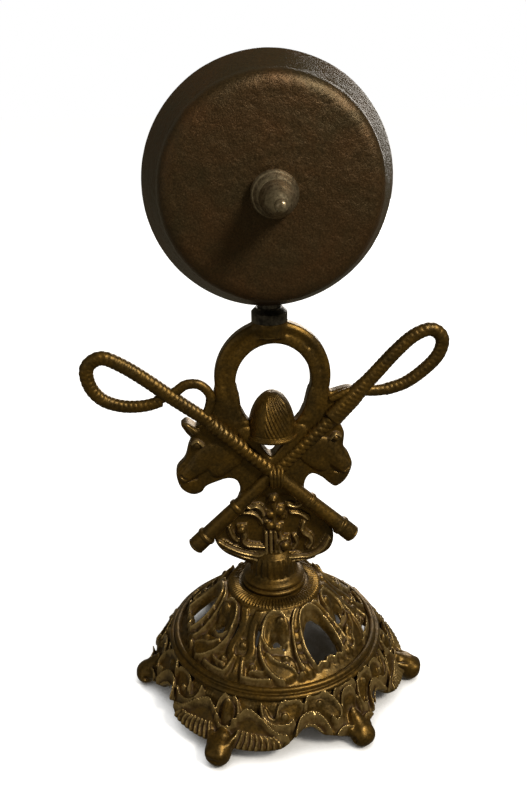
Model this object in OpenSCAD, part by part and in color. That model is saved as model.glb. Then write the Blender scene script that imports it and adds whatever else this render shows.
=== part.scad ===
// Service bell: a forward-facing gong on a cast equestrian stand with a pierced, six-footed base.
// Millimetres. +Z is up, -Y is the front, and the origin is on the table under the middle of the base.

/* [Gong] */
// Diameter of the gong's rim
gong_d = 90; // [86:1:92]
// Depth of the gong from its rim to its face
gong_depth = 20; // [19:0.5:21]
// Wall thickness of the gong
gong_wall = 2; // [1.6:0.1:2.2]
// Height of the gong's centre above the table
gong_z = 220; // [219:0.5:223]
// Diameter of the finial cup
cup_d = 16.4; // [14:0.2:18]

/* [Base] */
// Radius of the circle that the feet stand on
foot_circle_r = 61; // [59:0.5:63]
// Radius of each foot
foot_r = 4.8; // [4:0.1:5.5]
// Height of the top of the base
base_h = 48.6; // [47:0.1:49]
// Wall thickness of the base casting
base_wall = 3; // [2.5:0.1:3.5]
// Turn of the feet and the windows, measured from the front towards +X
base_turn = 32; // [28:1:36]

/* [Stand] */
// Thickness of the horseshoe frame
shoe_t = 7; // [6:0.5:8]
// Thickness of the body plate with the horse heads and the shield
plate_t = 6; // [5:0.5:7]
// Radius of the whip handles
handle_r = 3.1; // [2.6:0.1:3.3]
// Diameter of the gong post
post_d = 9; // [8.6:0.1:9.2]

/* [Striker] */
// Thickness of the mechanism plate
mech_t = 2; // [1.6:0.1:2]
// Length of the lever from its pin to the middle of its pad
lever_len = 32; // [26:1:36]
// Radius of the lever's thumb pad
pad_r = 7; // [6:0.5:8]
// Radius of the hammer head
head_r = 4; // [3.5:0.1:4]

/* [Hidden] */
$fn = 64;

fixed_gap = 0.05;   // clearance of a fixed piece in its hole
run_gap = 0.05;     // radial clearance of a running fit
side_gap = 0.4;     // clearance between pieces that move past each other
through = 1;        // how far a cutting tool runs past the face that it cuts

// Base
foot_angles = [0, 46, 111, 175, 240, 300];
foot_h = 8;
seat_r = 20;
ridge_r = 44;
ridge_z = 25;
apron_r = 57.4;
apron_z = 6;
dome_hollow = 1.4;
arch_r = 10;
tie_r = 3;
washer_t = 1.6;
nut_h = 5;
nut_r = 5.8;
window_w = 11;
window_h = 16;

// Stand
flange_r = 13.4;
flange_h = 3.4;
neck_r = 9.5;
neck_top = 64;
collar_z = 167.5;
collar_h = 5.5;
collar_r = 7;
spigot_r = 3;
spigot_h = 6.5;
post_r = post_d / 2;
post_top = gong_z + 9;
whip_y = -3.5;
thong_t = 4.6;
thong_w = 4.8;
tail_w = 3.2;
cap_z = 119;
cap_h = 19.6;
cap_r = 9.9;
cap_rim = 0.6;

// Gong and its stud. Distances along the gong's axis are measured forward from its rim.
rim_y = -post_r - 0.5;
gong_r = gong_d / 2;
shoulder_r = gong_r - 5.5;
shoulder_depth = gong_depth - 6;
face_r = gong_r - 11;
washer_leather = 1.2;
stud_r = 2.5;
back_y = post_r + mech_t;
stud_nut_h = 4;
cup_h = 6.5;
finial_len = 18;
face_y = rim_y - gong_depth;
cup_y = face_y - washer_leather;
nut_y = cup_y - cup_h;

// Mechanism plate, lever and hammer
plate_half_w = 15.5;
plate_bottom = 184;
plate_top = 230;
screw_r = 1.5;
screw_zs = [188, 194];
ear_x = 6.2;
ear_t = 1.6;
ear_r = 4.5;
pin_r = 1.5;
lever_y = post_r + 11.5;
lever_z = 200;
lever_w = 6;
lever_t = 3;
hub_r = 3.6;
nose_r = 1.3;
nose_y = back_y + side_gap + nose_r;
arm_y = back_y + 1.1;
arm_t = 1.6;
tail_z = 207.3;
tail_h = 2.6;
nose_z = tail_z - tail_h / 2 - side_gap - nose_r;
pivot_x = 12;
shoulder_pin_r = 1.8;
pivot_rel = [pivot_x, tail_z - gong_z];
strike_r = gong_r - 13.5;
head_dir = [-pivot_rel[1], pivot_rel[0]] / norm(pivot_rel);
head_x = strike_r * head_dir[0];
head_z = gong_z + strike_r * head_dir[1];
head_len = 7;
rod_r = 1.6;
stop_r = 1.2;
spring_x = -10;
spring_y = arm_y + arm_t / 2;
spring_post_z = 189;
spring_r = 1.25;
wire_r = 0.3;
coil_turns = 14;

// Points of a shallow curve from p to q that bulges b to the left of its direction
function curve(p, q, b, n = 8) =
  [for (i = [0:n]) let (t = i / n, d = q - p)
    p + t * d + 4 * b * t * (1 - t) * [-d[1], d[0]] / norm(d)];

// Points of an ellipse's arc round [cx, cy], from angle a0 to a1
function arc(cx, cy, rx, ry, a0, a1, n = 24) =
  [for (i = [0:n]) let (a = a0 + (a1 - a0) * i / n) [cx + rx * cos(a), cy + ry * sin(a)]];

// A smooth open curve through the points, n steps for each span
function spline(p, n = 5) =
  let (m = len(p) - 1)
  concat([for (i = [0:m - 1], j = [0:n - 1])
    let (t = j / n, a = p[max(i - 1, 0)], b = p[i], c = p[i + 1], d = p[min(i + 2, m)])
    0.5 * (2 * b + t * (c - a) + t * t * (2 * a - 5 * b + 4 * c - d) + t * t * t * (3 * (b - c) + d - a))],
    [p[m]]);

// The outline of a band of width w along an open curve
function band(p, w) =
  let (m = len(p) - 1,
    s = [for (i = [0:m]) let (d = p[min(i + 1, m)] - p[max(i - 1, 0)]) [-d[1], d[0]] / norm(d) * w / 2])
  concat([for (i = [0:m]) p[i] + s[i]], [for (i = [m:-1:0]) p[i] - s[i]]);

// The outline of a straight bar with round ends
function bar(p, q, w, n = 12) =
  let (a = atan2(q[1] - p[1], q[0] - p[0]))
  concat(arc(p[0], p[1], w / 2, w / 2, a + 90, a + 270, n), arc(q[0], q[1], w / 2, w / 2, a - 90, a + 90, n));

// Places its children round the base, az degrees from the front towards +X
module around(az) {
  rotate([0, 0, az]) children();
}

// An upright plate with its outline in X and Z, between y0 and y0 + t
module upright(points, y0, t) {
  translate([0, y0 + t, 0]) rotate([90, 0, 0]) linear_extrude(height = t) polygon(points);
}

// A cylinder that runs backward along +Y from y0
module along_y(x, y0, z, r, h) {
  translate([x, y0, z]) rotate([-90, 0, 0]) cylinder(r = r, h = h);
}

// A body of revolution round the gong's axis, with points [radius, y]
module gong_turned(points) {
  translate([0, 0, gong_z]) rotate([-90, 0, 0]) rotate_extrude() polygon(points);
}

// Base: the outside line of its wall, from the apron's lower edge up to the seat
base_outline = concat(
  curve([apron_r, apron_z], [ridge_r + 2, ridge_z - 3.5], 0.8),
  [[ridge_r + 1.6, ridge_z - 0.4], [ridge_r, ridge_z + 0.6]],
  curve([ridge_r - 1, ridge_z], [seat_r + 1.5, base_h - 2.6], dome_hollow),
  [[seat_r, base_h - 2], [seat_r, base_h]]
);

module base_shell() {
  inner = concat(
    curve([apron_r - base_wall - 1, apron_z], [ridge_r - 1.5, ridge_z - 5], 0.8),
    curve([ridge_r - 3, ridge_z - 3.4], [seat_r - 1, base_h - base_wall - 2.4], dome_hollow)
  );
  rotate_extrude() polygon(concat(
    base_outline,
    [[0, base_h], [0, base_h - base_wall]],
    [[seat_r - 4, base_h - base_wall]],
    [for (i = [len(inner) - 1:-1:0]) inner[i]]
  ));
}

// A round foot and its knee, which runs back into the apron
module foot() {
  knee_w = 2 * foot_r - 2;
  translate([0, -foot_circle_r, 0]) cylinder(r = foot_r, h = foot_h);
  translate([-knee_w / 2, 0, 0]) rotate([90, 0, 90]) linear_extrude(height = knee_w) polygon([
    [-foot_circle_r - 2, 3], [-foot_circle_r - 2, foot_h + 1.5], [-foot_circle_r + 1, foot_h + 4],
    [-foot_circle_r + 8, foot_h + 9], [-foot_circle_r + 11, foot_h + 4], [-foot_circle_r + 8, 3]
  ]);
}

module dome_window() {
  mid_r = (ridge_r + seat_r) / 2 + 0.5;
  outline = concat([[-window_w / 2 + 0.8, -window_h / 2], [window_w / 2 - 0.8, -window_h / 2]],
    arc(0, window_h / 2 - window_w / 2, window_w / 2, window_w / 2, 0, 180));
  translate([0, -mid_r, (ridge_z + base_h) / 2]) rotate([42, 0, 0])
    translate([0, 0, -9]) linear_extrude(height = 22) polygon(outline);
}

module small_window(turn, r, long, wide) {
  rotate([0, 0, turn]) translate([0, -r, (ridge_z + base_h) / 2]) rotate([42, 0, 0])
    translate([0, 0, -9]) linear_extrude(height = 22) polygon(bar([0, -long / 2], [0, long / 2], wide));
}

// The direction half way from foot i to the next one
function arch_angle(i) =
  let (next = i + 1 < len(foot_angles) ? foot_angles[i + 1] : foot_angles[0] + 360)
  (foot_angles[i] + next) / 2;

module base_casting() {
  color("darkgoldenrod") difference() {
    union() {
      base_shell();
      for (a = foot_angles) around(base_turn + a) foot();
    }
    for (i = [0:len(foot_angles) - 1]) around(base_turn + arch_angle(i))
      translate([0, -apron_r + 16, 0]) rotate([90, 0, 0]) cylinder(r = arch_r, h = 30);
    for (i = [0:2]) around(base_turn + 120 * i) {
      dome_window();
      small_window(-38, 36, 7, 4);
      small_window(38, 32, 8, 4);
    }
    translate([0, 0, base_h - base_wall - through])
      cylinder(r = tie_r + 0.2, h = base_wall + 2 * through);
  }
}

module tie_stud() {
  bottom = base_h - base_wall - washer_t - nut_h - 3;
  color("dimgray") translate([0, 0, bottom]) cylinder(r = tie_r, h = base_h + 16 - bottom);
}

module base_washer() {
  color("silver") translate([0, 0, base_h - base_wall - washer_t]) difference() {
    cylinder(r = 9, h = washer_t);
    translate([0, 0, -through]) cylinder(r = tie_r + fixed_gap, h = washer_t + 2 * through);
  }
}

module base_nut() {
  color("dimgray") translate([0, 0, base_h - base_wall - washer_t - nut_h]) difference() {
    cylinder(r = nut_r, h = nut_h, $fn = 6);
    translate([0, 0, -through]) cylinder(r = tie_r + fixed_gap, h = nut_h + 2 * through);
  }
}

// Stand: the horse heads and the shield share one plate
right_outline = [
  [19, 138], [23.4, 137], [32.8, 138.6], [36, 134.8], [27.5, 124.5], [28.6, 122], [30.2, 117], [29.8, 110.7],
  [32.8, 106], [33, 101.6], [30.8, 96.6], [26.4, 94], [23, 96.6], [20.6, 98.6], [16.8, 100.6], [14.4, 98.8],
  [13.4, 94.4], [15.2, 87.8], [19.2, 82.8], [24.8, 75], [25.8, 68], [23, 62.4], [14.4, 58.7], [8, 57]
];
left_outline = [
  [-8, 57], [-12, 59.5], [-20.6, 64.5], [-24.8, 70.5], [-24.4, 77.3], [-19, 83.6], [-14.8, 88.6], [-13.6, 94.4],
  [-15, 99.4], [-20.8, 99.6], [-26.9, 98], [-29.6, 94.8], [-33, 94.1], [-37.4, 96.8], [-39.4, 102], [-39.2, 107.3],
  [-34.6, 112.5], [-32.4, 119.5], [-35.7, 121.6], [-36.4, 127], [-30, 125.4], [-24.4, 130.6], [-22.6, 138], [-19, 140]
];

shoe_outline = concat(arc(0.8, 144, 23.1, 23.8, -25, 205, 40), [[-17, 124], [17, 124]]);
shoe_opening = concat(arc(1, 142.3, 15, 16.3, -20, 200, 40),
  [[-12.6, 131.4], [-10.6, 127.2], [-8.6, 124.5], [9.8, 124.5], [12, 127.2], [14, 131.4]]);

// The body plate and the horseshoe round one opening, which tapers down to the sides of the cap
module frame_plate() {
  difference() {
    union() {
      upright(concat(right_outline, left_outline), -plate_t / 2, plate_t);
      upright(shoe_outline, -shoe_t / 2, shoe_t);
    }
    upright(shoe_opening, -shoe_t / 2 - through, shoe_t + 2 * through);
  }
}

module cap() {
  translate([0, -1, cap_z]) rotate_extrude() polygon(concat(
    [[0, 0], [cap_r + cap_rim, 0], [cap_r + cap_rim, 1.6]],
    arc(0, 1.6, cap_r, cap_h - 1.6, 0, 90, 14)
  ));
}

// A whip handle from end to end, p and q in X and Z
module handle(p, q) {
  length = norm(q - p);
  translate([p[0], whip_y, p[1]]) rotate([0, 90 - atan2(q[1] - p[1], q[0] - p[0]), 0]) {
    cylinder(r = handle_r, h = length);
    cylinder(r = handle_r + 0.5, h = 7);
  }
}

module thong(points, w) {
  upright(band(spline(points), w), whip_y + 0.8 - thong_t / 2, thong_t);
}

module whips() {
  handle([33.6, 71.8], [-25.5, 129]);
  handle([-33.2, 68.4], [29, 130.5]);
  thong([[-24, 127.5], [-38.5, 140], [-48, 147], [-57.5, 153.3], [-65.4, 155.6], [-70.8, 151.8], [-70.4, 144.6],
    [-66, 138.8], [-58.5, 135.8], [-50, 135.6], [-43, 137.6]], thong_w);
  thong([[-45, 137.4], [-38, 140.5], [-33.5, 143.2], [-28, 143], [-24.9, 138.5], [-26, 132], [-28, 129]], tail_w);
  thong([[24, 125.5], [34, 136], [41, 143.6], [49, 152.5], [56.3, 159.4], [63.2, 161.7], [67.8, 157.7],
    [66.8, 150.8], [61.5, 144.3], [54, 139.4], [45, 136.8]], thong_w);
  thong([[50, 138.2], [42, 137], [35, 137.4], [29, 136.7], [21, 134.6]], tail_w);
}

module stand_foot() {
  rotate_extrude() polygon(concat(
    [[0, base_h], [flange_r, base_h], [flange_r, base_h + flange_h]],
    curve([flange_r - 1.2, base_h + flange_h + 0.8], [neck_r, neck_top - 6], 1.2),
    [[neck_r, neck_top], [0, neck_top]]
  ));
}

module stand_casting() {
  color("peru") difference() {
    union() {
      stand_foot();
      frame_plate();
      translate([0, 0, collar_z - 8]) cylinder(r = collar_r - 1, h = 8);
      cap();
      whips();
      along_y(0, whip_y - handle_r - 1.6, 103, 4, 5);
    }
    upright([[-5, 117.4], [4.4, 117.4], [-0.4, 110.5]], -12, 24);
    translate([0, 0, base_h - through]) cylinder(r = tie_r + fixed_gap, h = 17 + through);
    translate([0, 0, collar_z - spigot_h]) cylinder(r = spigot_r + fixed_gap, h = spigot_h + through);
  }
}

module post_collar() {
  color("#2b2723") translate([0, 0, collar_z]) rotate_extrude() polygon([
    [post_r + fixed_gap, 0], [collar_r, 0], [collar_r, collar_h - 1.8], [collar_r - 1.8, collar_h],
    [post_r + fixed_gap, collar_h]
  ]);
}

module gong_post() {
  color("#3b352e") difference() {
    union() {
      translate([0, 0, collar_z - spigot_h]) cylinder(r = spigot_r, h = spigot_h);
      translate([0, 0, collar_z]) cylinder(r = post_r, h = post_top - post_r - collar_z);
      translate([0, 0, post_top - post_r]) sphere(r = post_r);
    }
    along_y(0, -post_r - through, gong_z, stud_r + fixed_gap, post_d + 2 * through);
    for (z = screw_zs) along_y(0, -0.5, z, screw_r + fixed_gap, post_r + through);
  }
}

module gong_stud() {
  front = nut_y - finial_len * 0.5;
  color("gray") along_y(0, front, gong_z, stud_r, back_y + stud_nut_h + 1.5 - front);
}

module stud_nut() {
  color("dimgray") difference() {
    translate([0, back_y, gong_z]) rotate([-90, 0, 0]) cylinder(r = 4.6, h = stud_nut_h, $fn = 6);
    along_y(0, back_y - through, gong_z, stud_r + fixed_gap, stud_nut_h + 2 * through);
  }
}

module ring_on_stud(y0, r, h, hole) {
  difference() {
    along_y(0, y0, gong_z, r, h);
    along_y(0, y0 - through, gong_z, hole, h + 2 * through);
  }
}

module stud_spacer() {
  y0 = face_y + gong_wall + washer_leather;
  color("gray") ring_on_stud(y0, 4.2, -post_r - y0, stud_r + fixed_gap);
}

module inner_washer() {
  color("saddlebrown") ring_on_stud(face_y + gong_wall, 7, washer_leather, stud_r + fixed_gap);
}

module outer_washer() {
  color("saddlebrown") ring_on_stud(cup_y, 6.6, washer_leather, stud_r + fixed_gap);
}

module gong() {
  hole = stud_r + 0.3;
  skin = concat(
    [[gong_r, rim_y], [shoulder_r, rim_y - shoulder_depth]],
    curve([shoulder_r, rim_y - shoulder_depth], [face_r, face_y + 0.7], 1.6),
    [[8, face_y], [hole, face_y]]
  );
  lining = concat(
    [[hole, face_y + gong_wall], [8, face_y + gong_wall]],
    curve([face_r - 0.6, face_y + gong_wall + 0.7],
      [shoulder_r - gong_wall - 0.1, rim_y - shoulder_depth + 0.3], -1.4),
    [[gong_r - gong_wall - 0.2, rim_y]]
  );
  color("#3a2a1c") gong_turned(concat(skin, lining));
}

module finial_cup() {
  r = cup_d / 2;
  hole = stud_r + fixed_gap;
  color("#8f8676") gong_turned(concat(
    [[hole, cup_y], [r - 0.6, cup_y], [r, cup_y - 1.6], [r - 0.1, cup_y - 3.4]],
    curve([r - 0.1, cup_y - 3.4], [r - 2.4, nut_y], 0.7, 5),
    [[hole, nut_y]]
  ));
}

module finial_nut() {
  hole = stud_r + fixed_gap;
  tip = nut_y - finial_len;
  depth = finial_len * 0.5 + 0.2;
  color("#9a9080") gong_turned(concat(
    [[hole, nut_y], [5.2, nut_y], [5.2, nut_y - 0.9], [6, nut_y - 1.4], [6, nut_y - 5]],
    curve([6, nut_y - 5], [2, tip + 4.4], 1.9, 8),
    [[1.9, tip + 3.4]],
    arc(0, tip + 2.2, 2.2, 2.2, 30, -90, 10),
    [[0, nut_y - depth], [hole, nut_y - depth]]
  ));
}

// One ear of the plate: x0 is its inner face
module ear(x0) {
  outline = concat([[back_y - mech_t / 2, lever_z - ear_r], [lever_y, lever_z - ear_r]],
    arc(lever_y, lever_z, ear_r, ear_r, -90, 90),
    [[back_y - mech_t / 2, lever_z + ear_r]]);
  translate([x0, 0, 0]) rotate([90, 0, 90]) linear_extrude(height = ear_t) polygon(outline);
}

module mechanism_plate() {
  color("slategray") difference() {
    union() {
      translate([-plate_half_w, post_r, plate_bottom])
        cube([2 * plate_half_w, mech_t, plate_top - plate_bottom]);
      ear(ear_x);
      ear(-ear_x - ear_t);
    }
    along_y(0, post_r - through, gong_z, stud_r + fixed_gap, mech_t + 2 * through);
    for (z = screw_zs) along_y(0, post_r - through, z, screw_r + fixed_gap, mech_t + 2 * through);
    along_y(pivot_x, post_r - through, tail_z, 1.2 + fixed_gap, mech_t + 2 * through);
    along_y(stop_x, post_r - through, stop_z, stop_r + fixed_gap, mech_t + 2 * through);
    along_y(spring_x, post_r - through, spring_post_z, 1.2 + fixed_gap, mech_t + 2 * through);
    translate([-ear_x - 3, lever_y, lever_z]) rotate([0, 90, 0])
      cylinder(r = pin_r + fixed_gap, h = 2 * ear_x + 6);
  }
}

module plate_screws() {
  color("silver") for (z = screw_zs) {
    along_y(0, 0, z, screw_r, back_y);
    along_y(0, back_y, z, 2.5, 1.5);
  }
}

module lever() {
  x0 = -lever_w / 2;
  color("dimgray") difference() {
    union() {
      translate([x0, lever_y, lever_z]) rotate([0, 90, 0]) cylinder(r = hub_r, h = lever_w);
      translate([x0, 0, 0]) rotate([90, 0, 90]) linear_extrude(height = lever_w)
        polygon(bar([lever_y, lever_z], [nose_y, nose_z], 2 * nose_r));
      translate([x0, lever_y, lever_z - lever_t / 2]) cube([lever_w, lever_len, lever_t]);
      translate([0, lever_y + lever_len, lever_z - lever_t / 2]) cylinder(r = pad_r, h = lever_t + 1);
    }
    translate([x0 - through, lever_y, lever_z]) rotate([0, 90, 0])
      cylinder(r = pin_r + run_gap, h = lever_w + 2 * through);
  }
}

module lever_pin() {
  out = ear_x + ear_t;
  color("silver") translate([-out - 1.2, lever_y, lever_z]) rotate([0, 90, 0]) {
    translate([0, 0, 1.2]) cylinder(r = pin_r, h = 2 * out);
    cylinder(r = 2.4, h = 1.2);
    translate([0, 0, 2 * out + 1.2]) cylinder(r = 2.4, h = 1.2);
  }
}

// The stop pin lies side_gap clear of the arm's left edge
arm_w = 4;
arm_dir = [head_x - pivot_x, head_z - tail_z] / norm([head_x - pivot_x, head_z - tail_z]);
stop_along = 13;
stop_off = arm_w / 2 + stop_r + side_gap;
stop_x = pivot_x + arm_dir[0] * stop_along - arm_dir[1] * stop_off;
stop_z = tail_z + arm_dir[1] * stop_along + arm_dir[0] * stop_off;

module hammer_arm() {
  tail_end = spring_x - 1.8;
  color("slategray") difference() {
    union() {
      along_y(pivot_x, arm_y, tail_z, 3.8, arm_t);
      upright(bar([pivot_x, tail_z], [head_x, head_z], arm_w), arm_y, arm_t);
      along_y(head_x, arm_y, head_z, 3.4, arm_t);
      translate([tail_end, arm_y, tail_z - tail_h / 2]) cube([pivot_x - tail_end, arm_t, tail_h]);
      translate([-3, arm_y, tail_z - tail_h / 2]) cube([6, arm_t + 2.6, 1.2]);
    }
    along_y(pivot_x, arm_y - through, tail_z, shoulder_pin_r + run_gap, arm_t + 2 * through);
    along_y(head_x, arm_y - through, head_z, rod_r + fixed_gap, arm_t + 2 * through);
    along_y(spring_x, arm_y - through, tail_z, 0.8, arm_t + 2 * through);
  }
}

module hammer_head() {
  front = rim_y - 2 - head_len;
  color("goldenrod") {
    translate([head_x, front, head_z]) rotate([-90, 0, 0]) rotate_extrude() polygon([
      [0, 0], [head_r - 0.8, 0], [head_r, 0.8], [head_r, head_len - 0.8], [head_r - 0.8, head_len],
      [rod_r, head_len], [rod_r, arm_y + arm_t + 0.8 - front], [0, arm_y + arm_t + 0.8 - front]
    ]);
  }
}

module hammer_pivot_screw() {
  color("silver") {
    along_y(pivot_x, post_r, tail_z, 1.2, mech_t);
    along_y(pivot_x, back_y, tail_z, shoulder_pin_r, arm_y + arm_t + 0.3 - back_y);
    along_y(pivot_x, arm_y + arm_t + 0.3, tail_z, 3.2, 1.6);
  }
}

module stop_pin() {
  color("silver") along_y(stop_x, post_r, stop_z, stop_r, arm_y + arm_t + 1 - post_r);
}

module spring_post() {
  color("silver") {
    along_y(spring_x, post_r, spring_post_z, 1.2, spring_y + 1 - post_r);
    along_y(spring_x, spring_y + 1, spring_post_z, 2, 0.9);
  }
}

// The coils touch each other, as in a tension spring at rest, with a hook at each end
module return_spring() {
  pitch = 2 * wire_r - 0.04;
  hook_r = 1.4;
  low_hook_r = 1.6;
  coil_h = coil_turns * pitch;
  top_z = tail_z - hook_r;
  coil_z = (spring_post_z + low_hook_r + top_z - hook_r - coil_h) / 2;
  color("lightgray") translate([spring_x, spring_y, 0]) {
    for (i = [0:coil_turns]) translate([0, 0, coil_z + i * pitch])
      rotate_extrude() translate([spring_r, 0]) circle(r = wire_r, $fn = 16);
    translate([0, 0, spring_post_z]) rotate([90, 0, 0])
      rotate_extrude() translate([low_hook_r, 0]) circle(r = wire_r, $fn = 16);
    translate([0, 0, top_z]) rotate([0, 90, 0])
      rotate_extrude() translate([hook_r, 0]) circle(r = wire_r, $fn = 16);
    for (span = [[spring_post_z + low_hook_r, coil_z], [coil_z + coil_h, top_z - hook_r]]) {
      translate([0, 0, span[0]]) cylinder(r = wire_r, h = span[1] - span[0]);
    }
    for (z = [coil_z, coil_z + coil_h]) translate([0, 0, z]) rotate([0, 90, 0])
      cylinder(r = wire_r, h = spring_r);
  }
}

base_casting();
tie_stud();
base_washer();
base_nut();
stand_casting();
post_collar();
gong_post();
gong_stud();
stud_nut();
stud_spacer();
inner_washer();
gong();
outer_washer();
finial_cup();
finial_nut();
mechanism_plate();
plate_screws();
lever();
lever_pin();
hammer_arm();
hammer_head();
hammer_pivot_screw();
stop_pin();
spring_post();
return_spring();
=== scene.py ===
"""Service bell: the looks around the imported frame.

The castings are sculpted as distance fields in millimetres and turned into meshes, the turned pieces
are lathes, and the whips are swept tubes. The striker's small steel pieces keep their CAD meshes.
"""
import math

import bpy
import numpy as np
from mathutils import Matrix, Vector


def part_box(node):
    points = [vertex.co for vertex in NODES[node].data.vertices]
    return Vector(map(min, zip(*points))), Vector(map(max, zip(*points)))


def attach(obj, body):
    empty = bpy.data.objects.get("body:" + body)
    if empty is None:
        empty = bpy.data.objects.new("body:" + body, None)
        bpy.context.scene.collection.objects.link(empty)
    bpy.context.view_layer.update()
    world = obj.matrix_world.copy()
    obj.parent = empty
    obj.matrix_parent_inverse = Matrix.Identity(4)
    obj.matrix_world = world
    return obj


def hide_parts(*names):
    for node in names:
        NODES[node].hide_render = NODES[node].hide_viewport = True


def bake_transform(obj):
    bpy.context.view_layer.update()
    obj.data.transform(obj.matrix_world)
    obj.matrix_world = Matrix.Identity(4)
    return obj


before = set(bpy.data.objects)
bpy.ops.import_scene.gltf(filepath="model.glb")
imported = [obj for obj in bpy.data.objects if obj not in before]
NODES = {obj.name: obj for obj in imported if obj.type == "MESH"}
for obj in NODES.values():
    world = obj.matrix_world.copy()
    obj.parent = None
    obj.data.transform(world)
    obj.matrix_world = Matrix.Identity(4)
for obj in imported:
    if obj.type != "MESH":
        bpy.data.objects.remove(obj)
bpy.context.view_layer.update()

MM = 0.001
GRID = 0.42  # step of the sculpted fields, mm
MAX_TRIANGLES = 190000


def box_mm(node):
    """The lowest and highest corner of a CAD node, in millimetres"""
    low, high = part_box(node)
    return np.array(low) / MM, np.array(high) / MM


# ---------------------------------------------------------------- curves and noise


def spline(points, steps=8):
    """A smooth open curve through the points, with any number of columns"""
    p = np.asarray(points, float)
    out = []
    for i in range(len(p) - 1):
        a, b, c, d = p[max(i - 1, 0)], p[i], p[i + 1], p[min(i + 2, len(p) - 1)]
        for j in range(steps):
            t = j / steps
            out.append(0.5 * (2 * b + t * (c - a) + t * t * (2 * a - 5 * b + 4 * c - d)
                              + t ** 3 * (3 * (b - c) + d - a)))
    out.append(p[-1])
    return np.array(out)


def arc(cx, cy, rx, ry, a0, a1, steps=24):
    """Points of an ellipse's arc round (cx, cy), from angle a0 to a1 in degrees"""
    a = np.radians(np.linspace(a0, a1, steps + 1))
    return np.column_stack([cx + rx * np.cos(a), cy + ry * np.sin(a)])


def bow(p, q, bulge, steps=8):
    """A shallow curve from p to q that bulges to the left of its direction"""
    p, q = np.asarray(p, float), np.asarray(q, float)
    d = q - p
    t = np.linspace(0, 1, steps + 1)[:, None]
    side = np.array([-d[1], d[0]]) / np.hypot(*d)
    return p + t * d + 4 * bulge * t * (1 - t) * side


def resample(points, step):
    """The same open line with a point about every step"""
    p = np.asarray(points, float)
    along = np.r_[0, np.cumsum(np.linalg.norm(np.diff(p, axis=0), axis=1))]
    s = np.linspace(0, along[-1], max(2, int(round(along[-1] / step)) + 1))
    return np.column_stack([np.interp(s, along, p[:, i]) for i in range(p.shape[1])])


def smooth_step(x):
    x = np.clip(x, 0, 1)
    return x * x * (3 - 2 * x)


def lattice_value(i, j, k, seed):
    """A repeatable number in 0..1 for each lattice point"""
    n = (i * 73856093) ^ (j * 19349663) ^ (k * 83492791) ^ (seed * 26544357)
    n = (n ^ (n >> 13)) * 1274126177 & 0xFFFFFFFF
    n = (n ^ (n >> 15)) * 668265263 & 0xFFFFFFFF
    return ((n ^ (n >> 16)) & 0xFFFFFF) / 0xFFFFFF


def corner_weights(t):
    """The corners of a unit cell, each with its weight at the fractions t"""
    near = (1 - t, t)
    for x, y, z in np.ndindex(2, 2, 2):
        yield (x, y, z), near[x][:, 0] * near[y][:, 1] * near[z][:, 2]


def noise(p, size, seed=0):
    """Smooth noise in -1..1 at the points p, with cells of that size"""
    q = np.asarray(p, float) / size + 1000
    base = np.floor(q).astype(np.int64)
    f = q - base
    f = f * f * (3 - 2 * f)
    return 2 * sum(w * lattice_value(*(base + corner).T, seed) for corner, w in corner_weights(f)) - 1


# ---------------------------------------------------------------- meshes


def make_object(name, verts_mm, faces, material, layers=None):
    """A smooth-shaded mesh object. faces is an (n, 4) or (n, 3) array, or a list of such arrays."""
    groups = faces if isinstance(faces, list) else [faces]
    groups = [np.asarray(g, np.int32) for g in groups if len(g)]
    mesh = bpy.data.meshes.new(name)
    verts = np.asarray(verts_mm, np.float32) * MM
    mesh.vertices.add(len(verts))
    mesh.vertices.foreach_set("co", verts.ravel())
    totals = np.concatenate([np.full(len(g), g.shape[1], np.int32) for g in groups])
    mesh.loops.add(int(totals.sum()))
    mesh.loops.foreach_set("vertex_index", np.concatenate([g.ravel() for g in groups]))
    mesh.polygons.add(len(totals))
    mesh.polygons.foreach_set("loop_start", np.r_[0, np.cumsum(totals)[:-1]].astype(np.int32))
    mesh.polygons.foreach_set("loop_total", totals)
    mesh.polygons.foreach_set("use_smooth", np.ones(len(totals), bool))
    mesh.update(calc_edges=True)
    mesh.validate()
    for key, values in (layers or {}).items():
        layer = mesh.attributes.new(key, "FLOAT", "POINT")
        layer.data.foreach_set("value", np.asarray(values, np.float32))
    mesh.materials.append(material)
    obj = bpy.data.objects.new(name, mesh)
    bpy.context.scene.collection.objects.link(obj)
    return obj


def outward(verts, faces):
    """The faces, turned if the closed mesh's volume comes out negative"""
    total = 0.0
    for g in faces:
        a, b, c = verts[g[:, 0]], verts[g[:, 1]], verts[g[:, 2]]
        total += np.einsum("ij,ij->i", a, np.cross(b, c)).sum()
        if g.shape[1] == 4:
            total += np.einsum("ij,ij->i", a, np.cross(c, verts[g[:, 3]])).sum()
    return [g[:, ::-1] for g in faces] if total < 0 else faces


def grid_quads(rings, around, spans):
    """The quads between rings of points: spans is rings, or one less where the ends stay open"""
    i, j = [x.ravel() for x in np.meshgrid(np.arange(spans), np.arange(around), indexing="ij")]
    i2, j2 = (i + 1) % rings, (j + 1) % around
    return np.column_stack([i * around + j, i * around + j2, i2 * around + j2, i2 * around + j])


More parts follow.
